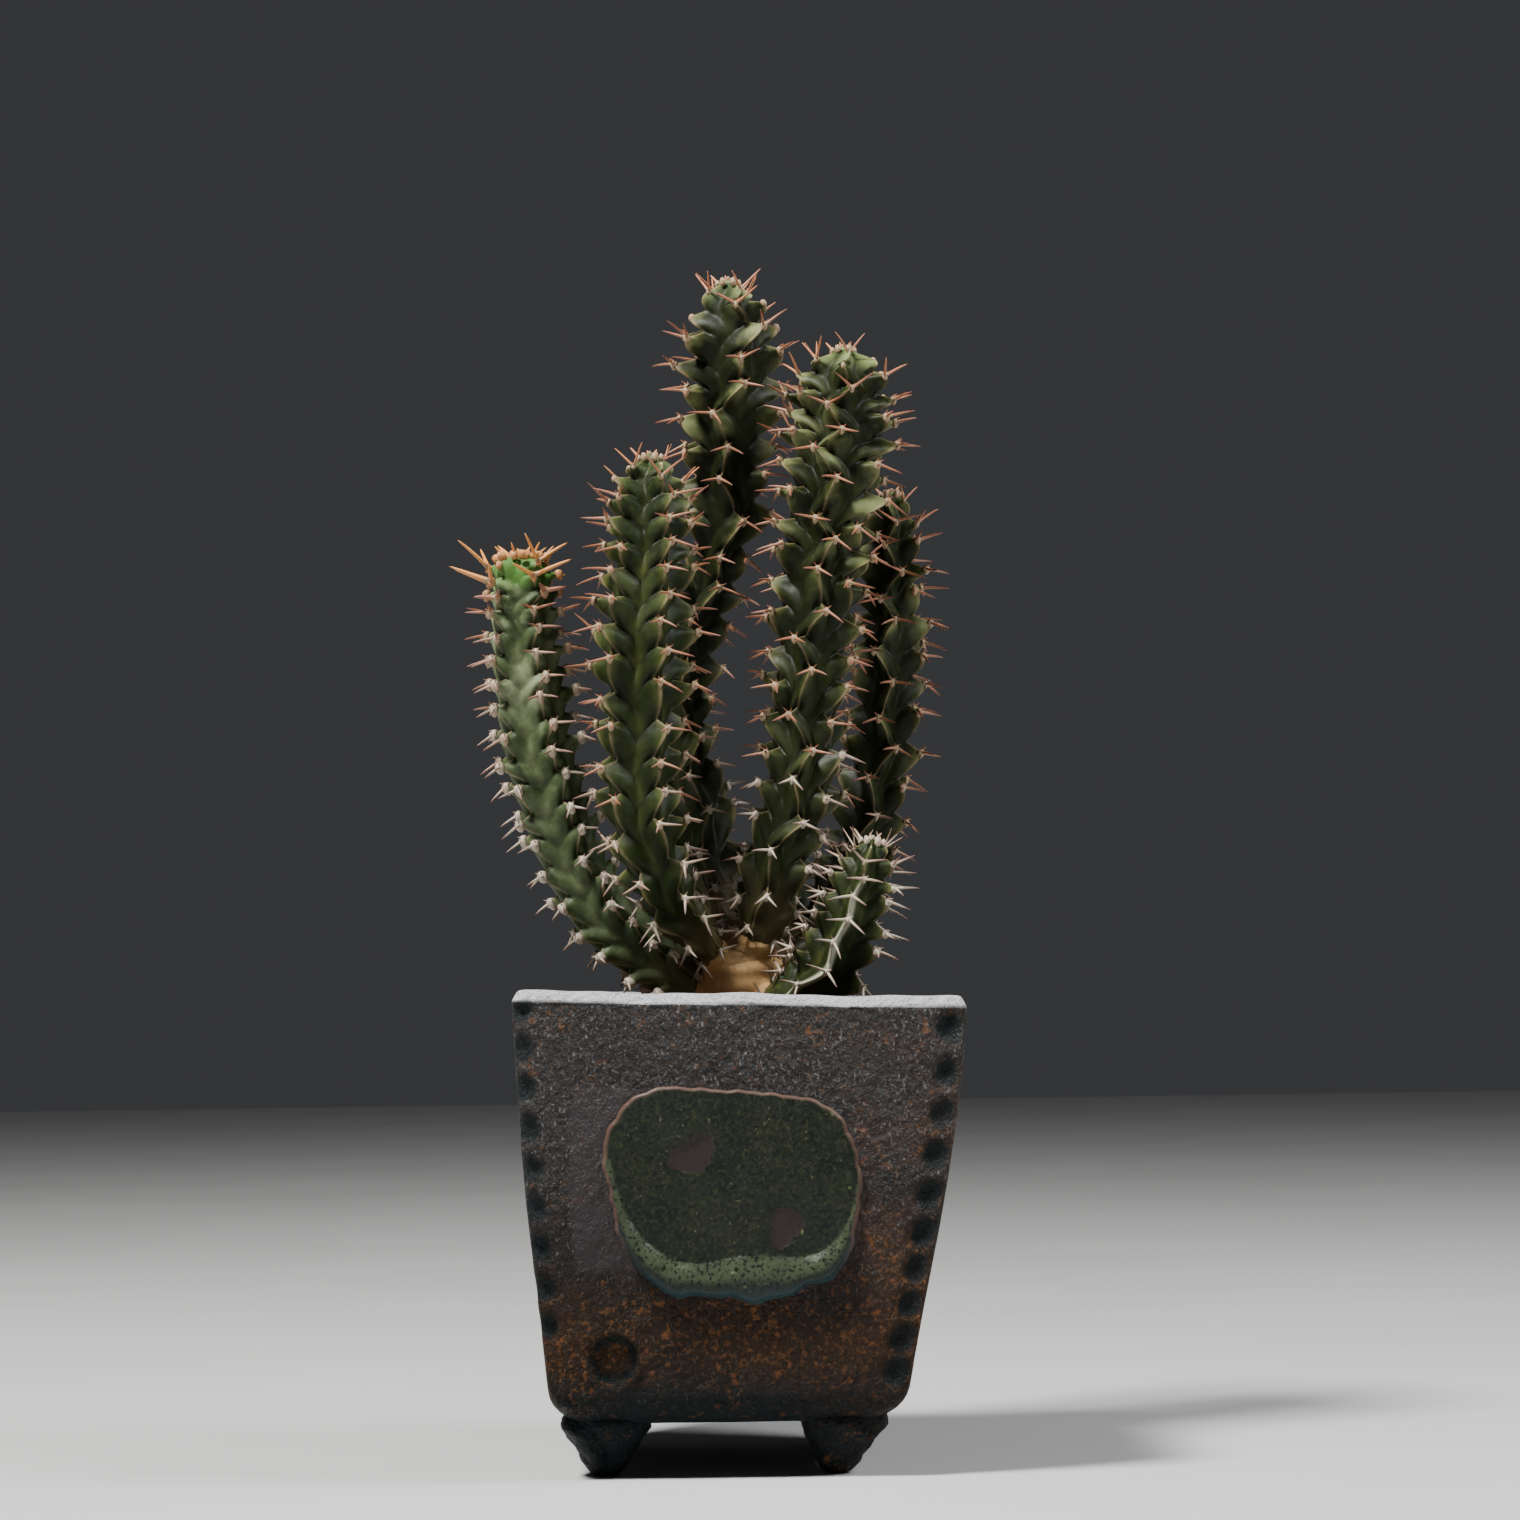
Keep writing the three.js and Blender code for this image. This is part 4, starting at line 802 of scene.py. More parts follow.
def lay_teeth(stem):
    """The teeth of each rib, at heights that climb the stem in a spiral as leaves do."""
    stem["teeth"] = []
    for rib in range(stem["ribs"]):
        phase = (0.25 if rib % 2 == 0 else -0.25) if stem["ribs"] == 6 else rib_phases[rib]
        for row in range(stem["rows"]):
            wander = 0.34 * (chance(rib, row, stem["seed"]) - 0.5)
            run = row_run(stem, row + 0.55 + 0.45 * phase + wander)
            gap = row_run(stem, row + 1) - row_run(stem, row)
            side = 0.45 if row % 2 else -0.45
            side += 0.6 * chance(row, rib, stem["seed"] + 10) - 0.3
            stray = math.radians(8 + 13 * stem["wander"]) * side
            angle = rib_angle(stem, rib, run) + rib_wander(stem, rib, run) + stray
            reach = 1 + 0.15 * (chance(rib, row, stem["seed"] + 20) - 0.65)
            here = on_path(stem, run)
            out = here["front"] * math.cos(angle) + here["right"] * math.sin(angle)
            point = here["place"] + out * here["radius"] * reach
            stem["teeth"].append(dict(rib=rib, row=row, run=run, gap=gap, angle=angle, reach=reach,
                                      point=point, out=out, here=here))


skin_rings_per_mm, skin_points_per_rib, rib_sharpness = 2.3, 20, 4.0
tubercle_swoop, edge_height, cord_height = 0.62, 0.22, 0.45


def make_skin(stem):
    """The skin between base and tip: over each rib a chain of swollen tubercles, with furrows that run
    from the notches down to the middle of each face."""
    ribs, length = stem["ribs"], stem["length"]
    around = ribs * skin_points_per_rib
    runs = np.linspace(0, length, int(length * skin_rings_per_mm))
    heres = [on_path(stem, run) for run in runs]
    radius = np.array([here["radius"] for here in heres])[:, None]
    turn = math.radians(stem["first_rib"]) + math.radians(stem["turn"]) * (runs / length)[:, None]
    sector = math.pi / ribs
    soften = smoothstep(runs, -4, 16)[:, None]
    crest_angles = []
    for rib in range(ribs):
        teeth = [tooth for tooth in stem["teeth"] if tooth["rib"] == rib]
        offsets = [tooth["angle"] - rib_angle(stem, rib, tooth["run"]) for tooth in teeth]
        offset = np.interp(runs, [tooth["run"] for tooth in teeth], offsets)[:, None]
        crest_angles.append(turn + rib * 2 * sector + offset * smoothstep(runs, 0, 10)[:, None])
    steps = np.arange(skin_points_per_rib) / (skin_points_per_rib / 2) - 1
    fine_steps = np.sign(steps) * np.abs(steps) ** 1.5
    columns, half_gaps = [], []
    for rib in range(ribs):
        after = (crest_angles[(rib + 1) % ribs] - crest_angles[rib]) % (2 * math.pi) / 2
        before = (crest_angles[rib] - crest_angles[rib - 1]) % (2 * math.pi) / 2
        half_gaps.append((before, after))
        columns.append(crest_angles[rib] + np.where(fine_steps < 0, before, after) * fine_steps)
    theta = np.concatenate(columns, axis=1)
    run_grid = np.broadcast_to(runs[:, None], theta.shape)
    reach = np.full(theta.shape, -1e9)
    total, furrows, middles, crests, cords = (np.zeros(theta.shape) for _ in range(5))
    plain = stem["name"] == "stem_left"
    cushion, furrow_cut, hollow = (0.06, 0.02, 0.45) if plain else (0.03, 0.02, valley_depth)
    faded = {"stem_left": 0.86, "stem_front": 0.82}.get(stem["name"], 0.91)
    for rib in range(ribs):
        teeth = [tooth for tooth in stem["teeth"] if tooth["rib"] == rib]
        tooth_runs = np.array([tooth["run"] for tooth in teeth])
        corded = stem["name"] == "stem_short" and rib == 0
        before, after = half_gaps[rib]
        away = (theta - crest_angles[rib] + math.pi) % (2 * math.pi) - math.pi
        half = np.where(away > 0, after, before)
        delta = np.abs(away) / half
        notches = tooth_runs[:-1] + notch_place * (tooth_runs[1:] - tooth_runs[:-1])
        notches = np.concatenate([[-3.0], notches, [(tooth_runs[-1] + length) / 2 + 1.5]])
        gap = np.interp(run_grid, tooth_runs, [tooth["gap"] for tooth in teeth])
        shifted = run_grid + tubercle_swoop * gap * np.minimum(delta, 1.3) ** 1.2
        index = np.clip(np.searchsorted(notches, shifted, side="right") - 1, 0, len(teeth) - 1)
        above = shifted - tooth_runs[index]
        to_next, to_last = notches[index + 1] - tooth_runs[index], tooth_runs[index] - notches[index]
        span = np.where(above > 0, to_next, to_last)
        level = np.clip(np.abs(above) / span, 0, 1)
        climb = np.clip((shifted - notches[index]) / (notches[index + 1] - notches[index]), 0, 1)
        tooth_reach = np.array([tooth["reach"] for tooth in teeth])[index]
        tooth_reach = 1 + (tooth_reach - 1) * (1 - level)
        notch = np.where(above > 0, level ** 1.1, level ** (1.3 if plain else 1.8))
        notch = notch * (1 - faded * smoothstep(delta, 0.02 if plain else 0.12, 0.5 if plain else 0.9))
        crest = radius * tooth_reach * (1 - notch_depth * (0.35 if corded else 1) * notch * soften)
        valley = radius * (1 - hollow * soften * (0.82 if ribs == 6 else 1))
        near = np.minimum(delta, 1)
        chord = crest * valley * np.sin(half)
        chord = chord / (crest * np.sin(near * half) + valley * np.sin((1 - near) * half))
        swell = np.sin(math.pi * climb ** 1.3) * np.sin(math.pi * np.minimum(delta, 1.3) / 1.32) ** 1.25
        crease = np.exp(-((1 - np.abs(2 * climb - 1)) / 0.2) ** 2) * smoothstep(delta, 0.05, 0.4)
        bulge = radius * soften * (cushion * swell - furrow_cut * crease)
        lined = np.where(above > 0, 0.6, 1 - 0.4 * smoothstep(level, 0.25, 0.85))
        lined = lined * (1 - smoothstep(delta, 0.03, 0.075))
        bulge = bulge + edge_height * lined * soften
        if corded:
            cord = 1 - smoothstep(delta, 0.1, 0.2)
            cord = cord * (1 - smoothstep(run_grid, length * 0.72, length * 0.86))
            cords = np.maximum(cords, cord)
            bulge = bulge + cord_height * cord
        beyond = np.maximum(delta - 1, 0)
        mine = chord + bulge - radius * 0.8 * beyond - radius * 2.2 * beyond ** 2
        mine = np.where(delta > 1.6, -50.0, mine)
        weight = np.exp(np.clip((mine - radius) * rib_sharpness, -60, 60))
        total += weight
        # Painted shade: the creases of the furrows and the undersides of the lobes just above each notch.
        under = (1 - smoothstep(climb, 0.0, 0.4)) * (1 - smoothstep(delta, 0.25, 0.65))
        under = under * (0.5 if plain else 0.7)
        low = 1 - 0.85 * smoothstep(run_grid, length - 9, length - 2)
        furrows += weight * low * np.maximum(crease * (0.35 if plain else 1), under)
        pale = smoothstep(delta, 0.5, 0.98) * (1 - 0.55 * smoothstep(climb, 0.5, 0.9))
        pale = pale + 0.4 * (1 - smoothstep(climb, 0.05, 0.35)) * smoothstep(delta, 0.15, 0.5)
        crest_pale = (0.2 if plain else 0.5) * (1 - smoothstep(delta, 0.1, 0.24))
        pale = pale + crest_pale * (1 - 0.7 * smoothstep(level, 0.3, 1))
        middles += weight * np.minimum(pale, 1)
        crests += weight * lined
        reach = np.where(reach > mine, reach, mine)
    smooth = radius + np.log(total) / rib_sharpness
    depth = np.minimum(smooth, reach + 0.25)
    furrows, middles, crests = furrows / total, middles / total, crests / total
    points = []
    for j, here in enumerate(heres):
        out = np.cos(theta[j])[:, None] * here["front"] + np.sin(theta[j])[:, None] * here["right"]
        points.append(here["place"] + out * depth[j][:, None])
    top = heres[-1]
    for lift, share in ((0.5, 0.8), (0.9, 0.5)):
        ring = points[len(heres) - 1]
        points.append(top["place"] + (ring - top["place"]) * share + top["along"] * lift)
    faces = grid_faces(len(points), around)
    pole = len(points) * around
    add_caps(faces, around, 0, pole, pole - around, pole + 1)
    ends = [heres[0]["place"][None, :], (top["place"] + top["along"] * 1.05)[None, :]]
    piece = make_piece(stem["name"] + "_skin", np.concatenate(points + ends), faces)
    extra = np.zeros(2 * around + 2)
    paint(piece, "skin_marks",
          *(np.concatenate([values.ravel(), extra]) for values in (middles, furrows, crests)))
    height = np.concatenate([np.repeat(runs / length, around), np.ones(2 * around), [0, 1]])
    # The depth under the crests, which the skin's colour turns into painted shade down in the valleys.
    tooth_shade = np.concatenate([(depth / radius).ravel(), extra + 0.8])
    cord_marks = np.concatenate([cords.ravel(), extra])
    paint(piece, "skin_height_depth_and_cord", height, np.clip(tooth_shade, 0, 2) / 2, cord_marks)
    return piece


def skin_finish(name, flank, midline, bloom, bloom_share, crown_from, crown_share, pale_share, valley_shade_share,
                horny_share):
    """Waxy skin: flanks, paler midlines, pale bloom in patches with a painted highlight that grows upwards,
    painted shade in the furrows, under the lobes and down in the valleys, a corky foot, a fresh crown, the
    horny edges of the ribs and the short stem's cord."""
    finish, tree, shader = new_finish(name, 0.5, 0.14)
    mark = marks(tree, "skin_marks")
    age = marks(tree, "skin_height_depth_and_cord")
    body = blend(tree, ramp(tree, noise(tree, 160, 5), 0.35, 0.65), shaded(flank, 0.5), flank)
    body = lay_over(tree, body, ramp(tree, noise(tree, 600, 4, 0.6), 0.5, 0.68), 0.12, midline)
    uneven = ramp(tree, noise(tree, 110, 3), 0.42, 0.64, 0.2 * pale_share, pale_share)
    body = lay_over(tree, body, (mark, 0), uneven, midline)
    # Pale waxy bloom in patches, with a painted highlight that grows towards the tops of the stems.
    bloom_and_painted_highlight = times(tree, ramp(tree, noise(tree, 75, 4), 0.46, 0.62), bloom_share)
    body = lay_over(tree, body, bloom_and_painted_highlight, ramp(tree, (age, 0), 0.55, 0.92, 0.16, 1.0), bloom)
    # Painted shade in the furrows and under the lobes.
    body = lay_over(tree, body, (mark, 1), 0.8, shaded(flank, 0.25))
    # Painted shade: the skin darkens down in the valleys between the ribs.
    sunk = ramp(tree, (age, 1), 0.42, 0.28)
    body = lay_over(tree, body, sunk, valley_shade_share, shaded(flank, 0.4))
    body = lay_over(tree, body, ramp(tree, (age, 0), 0.5, 0.15), 0.3, shaded(flank, 0.7))
    corky = times(tree, ramp(tree, (age, 0), 0.14, 0.0), ramp(tree, noise(tree, 90, 4), 0.3, 0.55))
    body = lay_over(tree, body, corky, 0.7, (0.13, 0.095, 0.045))
    fresh = times(tree, ramp(tree, (age, 0), *crown_from), crown_share)
    body = blend(tree, fresh, body, (0.05, 0.15, 0.018))
    horny = times(tree, (mark, 2), ramp(tree, noise(tree, 220, 3), 0.32, 0.52, 0.35, 1.0))
    body = lay_over(tree, body, horny, horny_share, (0.34, 0.25, 0.15))
    body = lay_over(tree, body, (age, 2), 0.9, (0.34, 0.34, 0.26))
    feed(tree, body, shader, "Base Color")
    shader.inputs["Subsurface Weight"].default_value = 0.05
    shader.inputs["Subsurface Radius"].default_value = (0.4, 0.6, 0.2)
    shader.inputs["Subsurface Scale"].default_value = 0.002
    waxy = ramp(tree, noise(tree, 240, 3), 0.3, 0.7, 0.4, 0.6)
    feed(tree, waxy, shader, "Roughness")
    lined = bump(tree, 0.35, 0.0003, noise(tree, 700, 4, 0.6))
    feed(tree, lined, shader, "Normal")
    return finish


green_skin = skin_finish("waxy_green_skin", (0.015, 0.024, 0.005), (0.11, 0.125, 0.028),
                         (0.13, 0.165, 0.06), 0.5, (0.96, 1.0), 0.12, 0.85, 0.6, 0.4)
deep_skin = skin_finish("waxy_deep_green_skin", (0.015, 0.022, 0.005), (0.13, 0.135, 0.028),
                        (0.3, 0.34, 0.14), 0.66, (0.96, 1.0), 0.12, 0.55, 0.9, 0.4)
# The left stem's skin: a grey-green of its own, made paler with painted light, as if lit more brightly than
# the others.
grey_skin_with_painted_light = skin_finish("waxy_grey_green_skin_with_painted_light", (0.05, 0.075, 0.028), (0.23, 0.27, 0.13),
                        (0.42, 0.48, 0.28), 0.68, (0.93, 0.96), 0.8, 0.85, 0.5, 0.6)
skin_finishes = {"stem_left": grey_skin_with_painted_light, "stem_front": green_skin, "stem_short": green_skin}
for stem in stems:
    follow_path(stem)
    lay_teeth(stem)
    skin = make_skin(stem)
    skin.data.materials.append(skin_finishes.get(stem["name"], deep_skin))
    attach(skin, "root")
    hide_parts(stem["name"])


# The spines: each tooth ends in a horny shield that carries two long spines, spread to the sides, and two
# tiny prickles. Young ones are orange to red-brown, old ones grey-white with dark tips.
spine_base_length, spine_tip_gain, spine_spread = 4.8, 2, 48
spine_clearance, stub_length, shortest_spine, lowest_spine = 0.45, 0.25, 0.6, mix_top + 1.6
spine_scales, spine_bends, neighbour_reach = (1, 0.75, 0.5, 0.3), (0, 0.35, -0.35, 0.75, -0.75, 1.3), 18
spiral_turn, steepest_fall, spine_sides, prickle_sides, shield_sides = 2.4, 2.2, 6, 4, 8
spine_rings = ((0, 1.05), (0.1, 0.78), (0.35, 0.68), (0.68, 0.54), (0.9, 0.32))
shield_rings = ((0.5, 0.88), (0.9, 0.35), (1.0, -0.25), (0.8, -1.0))
trunk_profile = [(64, 3.6), (72, 6), (82, 8.2), (88, 9.1), (95, 8.8), (101, 8.4), (106, 8), (110, 6.4),
                 (112.6, 3.4)]
trunk_crown = 113.6


def trunk_radius(z):
    return float(np.interp(z, [row[0] for row in trunk_profile], [row[1] for row in trunk_profile]))


def spine_direction(tooth, side, lift, spread):
    along, out = tooth["here"]["along"], tooth["out"]
    outward = unit(out + along * min(tooth["here"]["fall"], steepest_fall))
    across = unit(np.cross(along, out))
    direction = outward * math.cos(math.radians(spread)) + across * side * math.sin(math.radians(spread))
    return unit(direction + along * lift)


def is_clear(start, end, stem, spines):
    """Whether a spine stays clear of the mix, the trunk, the other stems and the spines already set."""
    if end[2] < lowest_spine:
        return False
    from_trunk = math.hypot(end[0] - trunk_x, end[1] - trunk_y)
    if end[2] < trunk_crown + 1 and from_trunk < trunk_radius(end[2]) + 1.5:
        return False
    for other in stems:
        if other is stem:
            continue
        places, radii = other["places"][::4], other["radii"][::4]
        for share in (0.5, 0.75, 1.0):
            point = start + (end - start) * share
            if np.any(np.linalg.norm(places - point, axis=1) < radii + 0.9):
                return False
    if not spines:
        return True
    starts = np.array([spine["start"] for spine in spines])
    distance = np.linalg.norm(starts - start, axis=1)
    own = np.array([spine["stem"] is stem for spine in spines])
    close = (distance <= neighbour_reach) & ~(own & (distance < 0.1))
    if not close.any():
        return True
    starts = starts[close]
    reach = np.array([spine["end"] for spine in spines])[close] - starts
    size = np.maximum((reach * reach).sum(axis=1), 1e-12)
    for step in range(7):
        point = start + (end - start) * step / 6
        share = np.clip(((point - starts) * reach).sum(axis=1) / size, 0, 1)
        if np.any(np.linalg.norm(starts + reach * share[:, None] - point, axis=1) < spine_clearance):
            return False
    return True


def set_spine(stem, tooth, side, spines):
    """The first of a few tilts and lengths that keeps a spine clear of what stands around it."""
    left = stem["name"] == "stem_left"
    share = tooth["run"] / stem["length"]
    draw = chance(tooth["rib"] * 40 + tooth["row"], side, stem["seed"] + 30)
    young = min(1, tooth["here"]["radius"] / 6)
    length = (spine_base_length + spine_tip_gain * share + 1.8 * (draw - 0.5)) * (0.72 + 0.28 * young)
    length *= 0.8 if left and share < 0.93 else 0.9
    length *= 1.45 if left and share > 0.93 else 1
    spread = spine_spread + 16 * (chance(tooth["row"], tooth["rib"], stem["seed"] + 40 + side) - 0.5)
    lift = 0.5 * (chance(tooth["row"], side, stem["seed"] + 50 + tooth["rib"]) - 0.5)
    lift += 0.25 - 0.5 * (1 - ease(share, 0.78, 0.96))
    for scale in spine_scales:
        for bend in spine_bends:
            way = spine_direction(tooth, side, lift + bend, spread - 20 * abs(bend))
            end = tooth["point"] + way * length * scale
            if is_clear(tooth["point"], end, stem, spines):
                spines.append(dict(start=tooth["point"], end=end, stem=stem))
                return end
    return tooth["point"] + spine_direction(tooth, side, lift, 30) * stub_length


def add_cone(points, faces, tints, start, end, root, sides, bow, tint):
    """A tapered, slightly bowed spine with a closed foot and a sharp tip."""
    axis = unit(end - start)
    first = unit(np.cross(axis, np.array([0.31, 0.95, 0.11])))
    second = np.cross(axis, first)
    base = len(points)
    for share, size in spine_rings:
        middle = start + (end - start) * share + bow * math.sin(share * math.pi)
        for i in range(sides):
            angle = i / sides * 2 * math.pi
            points.append(middle + root * size * (first * math.cos(angle) + second * math.sin(angle)))
            tints.append((share, tint[0], tint[1]))
    faces.extend(grid_faces(len(spine_rings), sides, base))
    pole = len(points)
    points.extend([end, start])
    tints.extend([(1, tint[0], tint[1]), (0, tint[0], tint[1])])
    add_caps(faces, sides, base, pole + 1, pole - sides, pole)


def add_shield(points, faces, tints, tooth, long, wide, thick, tint, glow):
    """A flat horny pad lapped over a tooth, drawn out down the rib."""
    along, out = tooth["here"]["along"], tooth["out"]
    across = unit(np.cross(along, out))
    fall = min(tooth["here"]["fall"], steepest_fall)
    rib_way, face_way = unit(along - out * fall), unit(out + along * fall)
    base = len(points)
    for share, rise in shield_rings:
        for i in range(shield_sides):
            angle = i / shield_sides * 2 * math.pi
            down = (1.35 if math.sin(angle) < 0 else 0.8) * (1 + 0.08 * math.sin(3 * angle + 7 * tint[1]))
            points.append(tooth["point"] + rib_way * (share * long * down * math.sin(angle))
                          + across * (share * wide * math.cos(angle)) + face_way * (thick * rise - 0.1))
            tints.append((glow, tint[0], tint[1]))
    faces.extend((a, d, c, b) for a, b, c, d in grid_faces(len(shield_rings), shield_sides, base))
    pole = len(points)
    points.append(tooth["point"] + face_way * (thick - 0.1))
    points.append(tooth["point"] - face_way * (0.5 * thick + 0.15))
    tints.extend([(glow, tint[0], tint[1])] * 2)
    add_caps(faces, shield_sides, pole - shield_sides, pole + 1, base, pole)


def make_spines(stem, spines):
    """All horny parts of a stem: a shield, two spines and two prickles on each tooth, and a tuft of
    shields with a few short spines on the tip."""
    points, faces, tints = [], [], []
    left = stem["name"] == "stem_left"
    for tooth in stem["teeth"]:
        here = tooth["here"]
        size = min(1, tooth["gap"] / 5.2) * min(1, here["radius"] / 5)
        share = tooth["run"] / stem["length"]
        tint = (share, chance(tooth["row"], tooth["rib"], stem["seed"] + 60))
        ends = [set_spine(stem, tooth, side, spines) for side in (-1, 1)]
        knob = (1.5 if share > 0.92 else 1.15) if left else 0.84
        glow = 0.13 if left and share > 0.92 else 0.05
        add_shield(points, faces, tints, tooth, 1.2 * size * knob, (0.7 + 0.2 * tint[1]) * size * knob,
                   0.85 * size * knob, tint, glow)
        across = unit(np.cross(here["along"], tooth["out"]))
        for side, end in zip((-1, 1), ends):
            root = tooth["point"] + across * side * 0.22 * size + tooth["out"] * 0.05
            long = np.linalg.norm(end - root)
            if long < shortest_spine or (share > 0.93 and tint[1] < 0.4):
                continue
            bow = here["along"] * 0.05 * long * (chance(tooth["row"], side, stem["seed"] + 70) - 0.2)
            stout = 0.8 if left and share > 0.9 else 0.42
            add_cone(points, faces, tints, root, end, stout * min(1, size + 0.2), spine_sides, bow, tint)
            small = tooth["point"] + here["along"] * 0.6 * size + across * side * 0.4 * size
            way = unit(tooth["out"] + here["along"] * 0.9 + across * side * 0.7)
            tip = small + way * (0.7 + 0.6 * tint[1]) * size
            foot = small - tooth["out"] * 0.2
            add_cone(points, faces, tints, foot, tip, 0.2, prickle_sides, np.zeros(3), tint)
    tip = on_path(stem, stem["length"])
    for number in range(22 if left else 9):
        turn = number * spiral_turn
        out = tip["front"] * math.cos(turn) + tip["right"] * math.sin(turn)
        spread = (1.25 if left else 1.0) * math.sqrt(number + 0.2)
        here = dict(tip, fall=0.25 * spread)
        point = tip["place"] + out * spread + tip["along"] * (1.1 - (0.1 if left else 0.22) * spread)
        tuft = dict(here=here, point=point, out=unit(out + tip["along"] * 1.2))
        tint = (1, chance(number, 3, stem["seed"] + 90))
        size, glow = (1, 0.14) if left else (0.72, 0.05)
        add_shield(points, faces, tints, tuft, 1.05 * size, 0.85 * size, size, tint, glow)
        if number % 3 == 1:
            end = point + unit(out * 0.9 + tip["along"]) * (1.8 + 1.8 * tint[1])
            add_cone(points, faces, tints, point, end, 0.45, spine_sides, tip["along"] * 0.05, tint)
    piece = make_piece(stem["name"] + "_spines", np.array(points), faces)
    tint = np.array(tints)
    paint(piece, "spine_marks", tint[:, 0], tint[:, 1], tint[:, 2])
    return piece


def spine_finish(name, young_from, young_to, crown):
    finish, tree, shader = new_finish(name, 0.42, 0.45)
    mark = marks(tree, "spine_marks")
    old = blend(tree, ramp(tree, (mark, 0), 0.25, 0.9), (0.44, 0.37, 0.29), (0.13, 0.075, 0.06))
    young = blend(tree, ramp(tree, (mark, 0), 0.06, 0.22), (0.32, 0.22, 0.13), (0.3, 0.12, 0.06))
    young = blend(tree, ramp(tree, (mark, 0), 0.4, 1.0), young, (0.1, 0.028, 0.02))
    crowned = times(tree, ramp(tree, (mark, 1), 0.93, 0.96), ramp(tree, (mark, 0), 0.07, 0.2))
    young = blend(tree, crowned, young, crown)
    varied = reckon(tree, "ADD", times(tree, (mark, 2), 0.22), (mark, 1))
    body = blend(tree, ramp(tree, varied, young_from, young_to), old, young)
    grain = ramp(tree, noise(tree, 900, 3), 0.4, 0.7)
    body = lay_over(tree, body, grain, 0.15, (0.14, 0.08, 0.05))
    feed(tree, body, shader, "Base Color")
    shader.inputs["Subsurface Weight"].default_value = 0.08
    shader.inputs["Subsurface Scale"].default_value = 0.001
    rough = bump(tree, 0.3, 0.0001, noise(tree, 2500, 3))
    feed(tree, rough, shader, "Normal")
    return finish


horn = spine_finish("horny_spines", 0.28, 0.55, (0.42, 0.17, 0.08))
horn_left = spine_finish("horny_spines_of_the_left_stem", 0.62, 0.98, (0.62, 0.26, 0.06))
horn_short = spine_finish("horny_spines_of_the_short_stem", 0.9, 1.5, (0.45, 0.3, 0.2))
horn_finishes = {"stem_left": horn_left, "stem_short": horn_short}
spines = []
for stem in stems:
    prickly = make_spines(stem, spines)
    prickly.data.materials.append(horn_finishes.get(stem["name"], horn))
    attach(prickly, "root")


# The trunk: a short woody stock with tan bark and darker rings, swollen where the branches leave it. Its
# root crown goes down into the mix. A remesh joins the stock and the branches' stubs into one skin.
stock_low, stock_high, stock_rings, stock_around, stub_around = 62, 112.4, 60, 36, 20
bark_voxel = 0.45


def add_tube(points, faces, rings):
    """A closed tube through rings of points."""
    start, around = len(points), len(rings[0])
    for ring in rings:
        points.extend(ring)
    faces.extend(grid_faces(len(rings), around, start))
    pole = len(points)
    points.extend([np.mean(rings[0], axis=0), np.mean(rings[-1], axis=0)])
    add_caps(faces, around, start, pole, pole - around, pole + 1)


def make_trunk():
    """The stock and a stub for each stem, remeshed into one piece and relaxed."""
    points, faces, stock = [], [], []
    for z in np.linspace(stock_low, stock_high, stock_rings):
        ring = []
        for i in range(stock_around):
            angle = i / stock_around * 2 * math.pi
            uneven = 0.22 * math.sin(z * 1.5 + 0.6 * math.sin(2 * angle))
            uneven += 0.5 * math.sin(2 * angle + z * 0.12)
            uneven += 0.35 * math.sin(3 * angle + z * 0.21 + 1)
            radius = trunk_radius(z) * (1 - 0.55 * ease(z, 109, 113))
            radius += uneven * min(1, (z - 60) / 20)
            ring.append((trunk_x + radius * math.cos(angle), trunk_y + radius * math.sin(angle), z))
        stock.append(ring)
    add_tube(points, faces, stock)
    for stem in stems:
        rings = []
        inner = np.array([trunk_x, trunk_y, stem["path"][0][2] - 3.0])
        start = on_path(stem, 0)
        for run in (-8, -4, 0, 1.5, 3):
            here = on_path(stem, max(run, 0))
            place = here["place"] if run >= 0 else start["place"] + (inner - start["place"]) * (-run / 8)
            radius = here["radius"] * (1.06 if run < 3 else 0.9) + (0.9 if run < 0 else 0.25 * (run < 2))
            angles = np.linspace(0, 2 * math.pi, stub_around, endpoint=False)
            out = np.cos(angles)[:, None] * here["front"] + np.sin(angles)[:, None] * here["right"]
            rings.append(place + out * radius)
        add_tube(points, faces, rings)
    piece = make_piece("trunk_bark", np.array(points), faces)
    bpy.ops.object.select_all(action="DESELECT")
    bpy.context.view_layer.objects.active = piece
    piece.select_set(True)
    remesh = piece.modifiers.new("join", "REMESH")
    remesh.mode, remesh.voxel_size, remesh.use_smooth_shade = "VOXEL", bark_voxel * MM, True
    bpy.ops.object.modifier_apply(modifier="join")
    relax = piece.modifiers.new("relax", "SMOOTH")
    relax.factor, relax.iterations = 0.5, 6
    bpy.ops.object.modifier_apply(modifier="relax")
    return piece


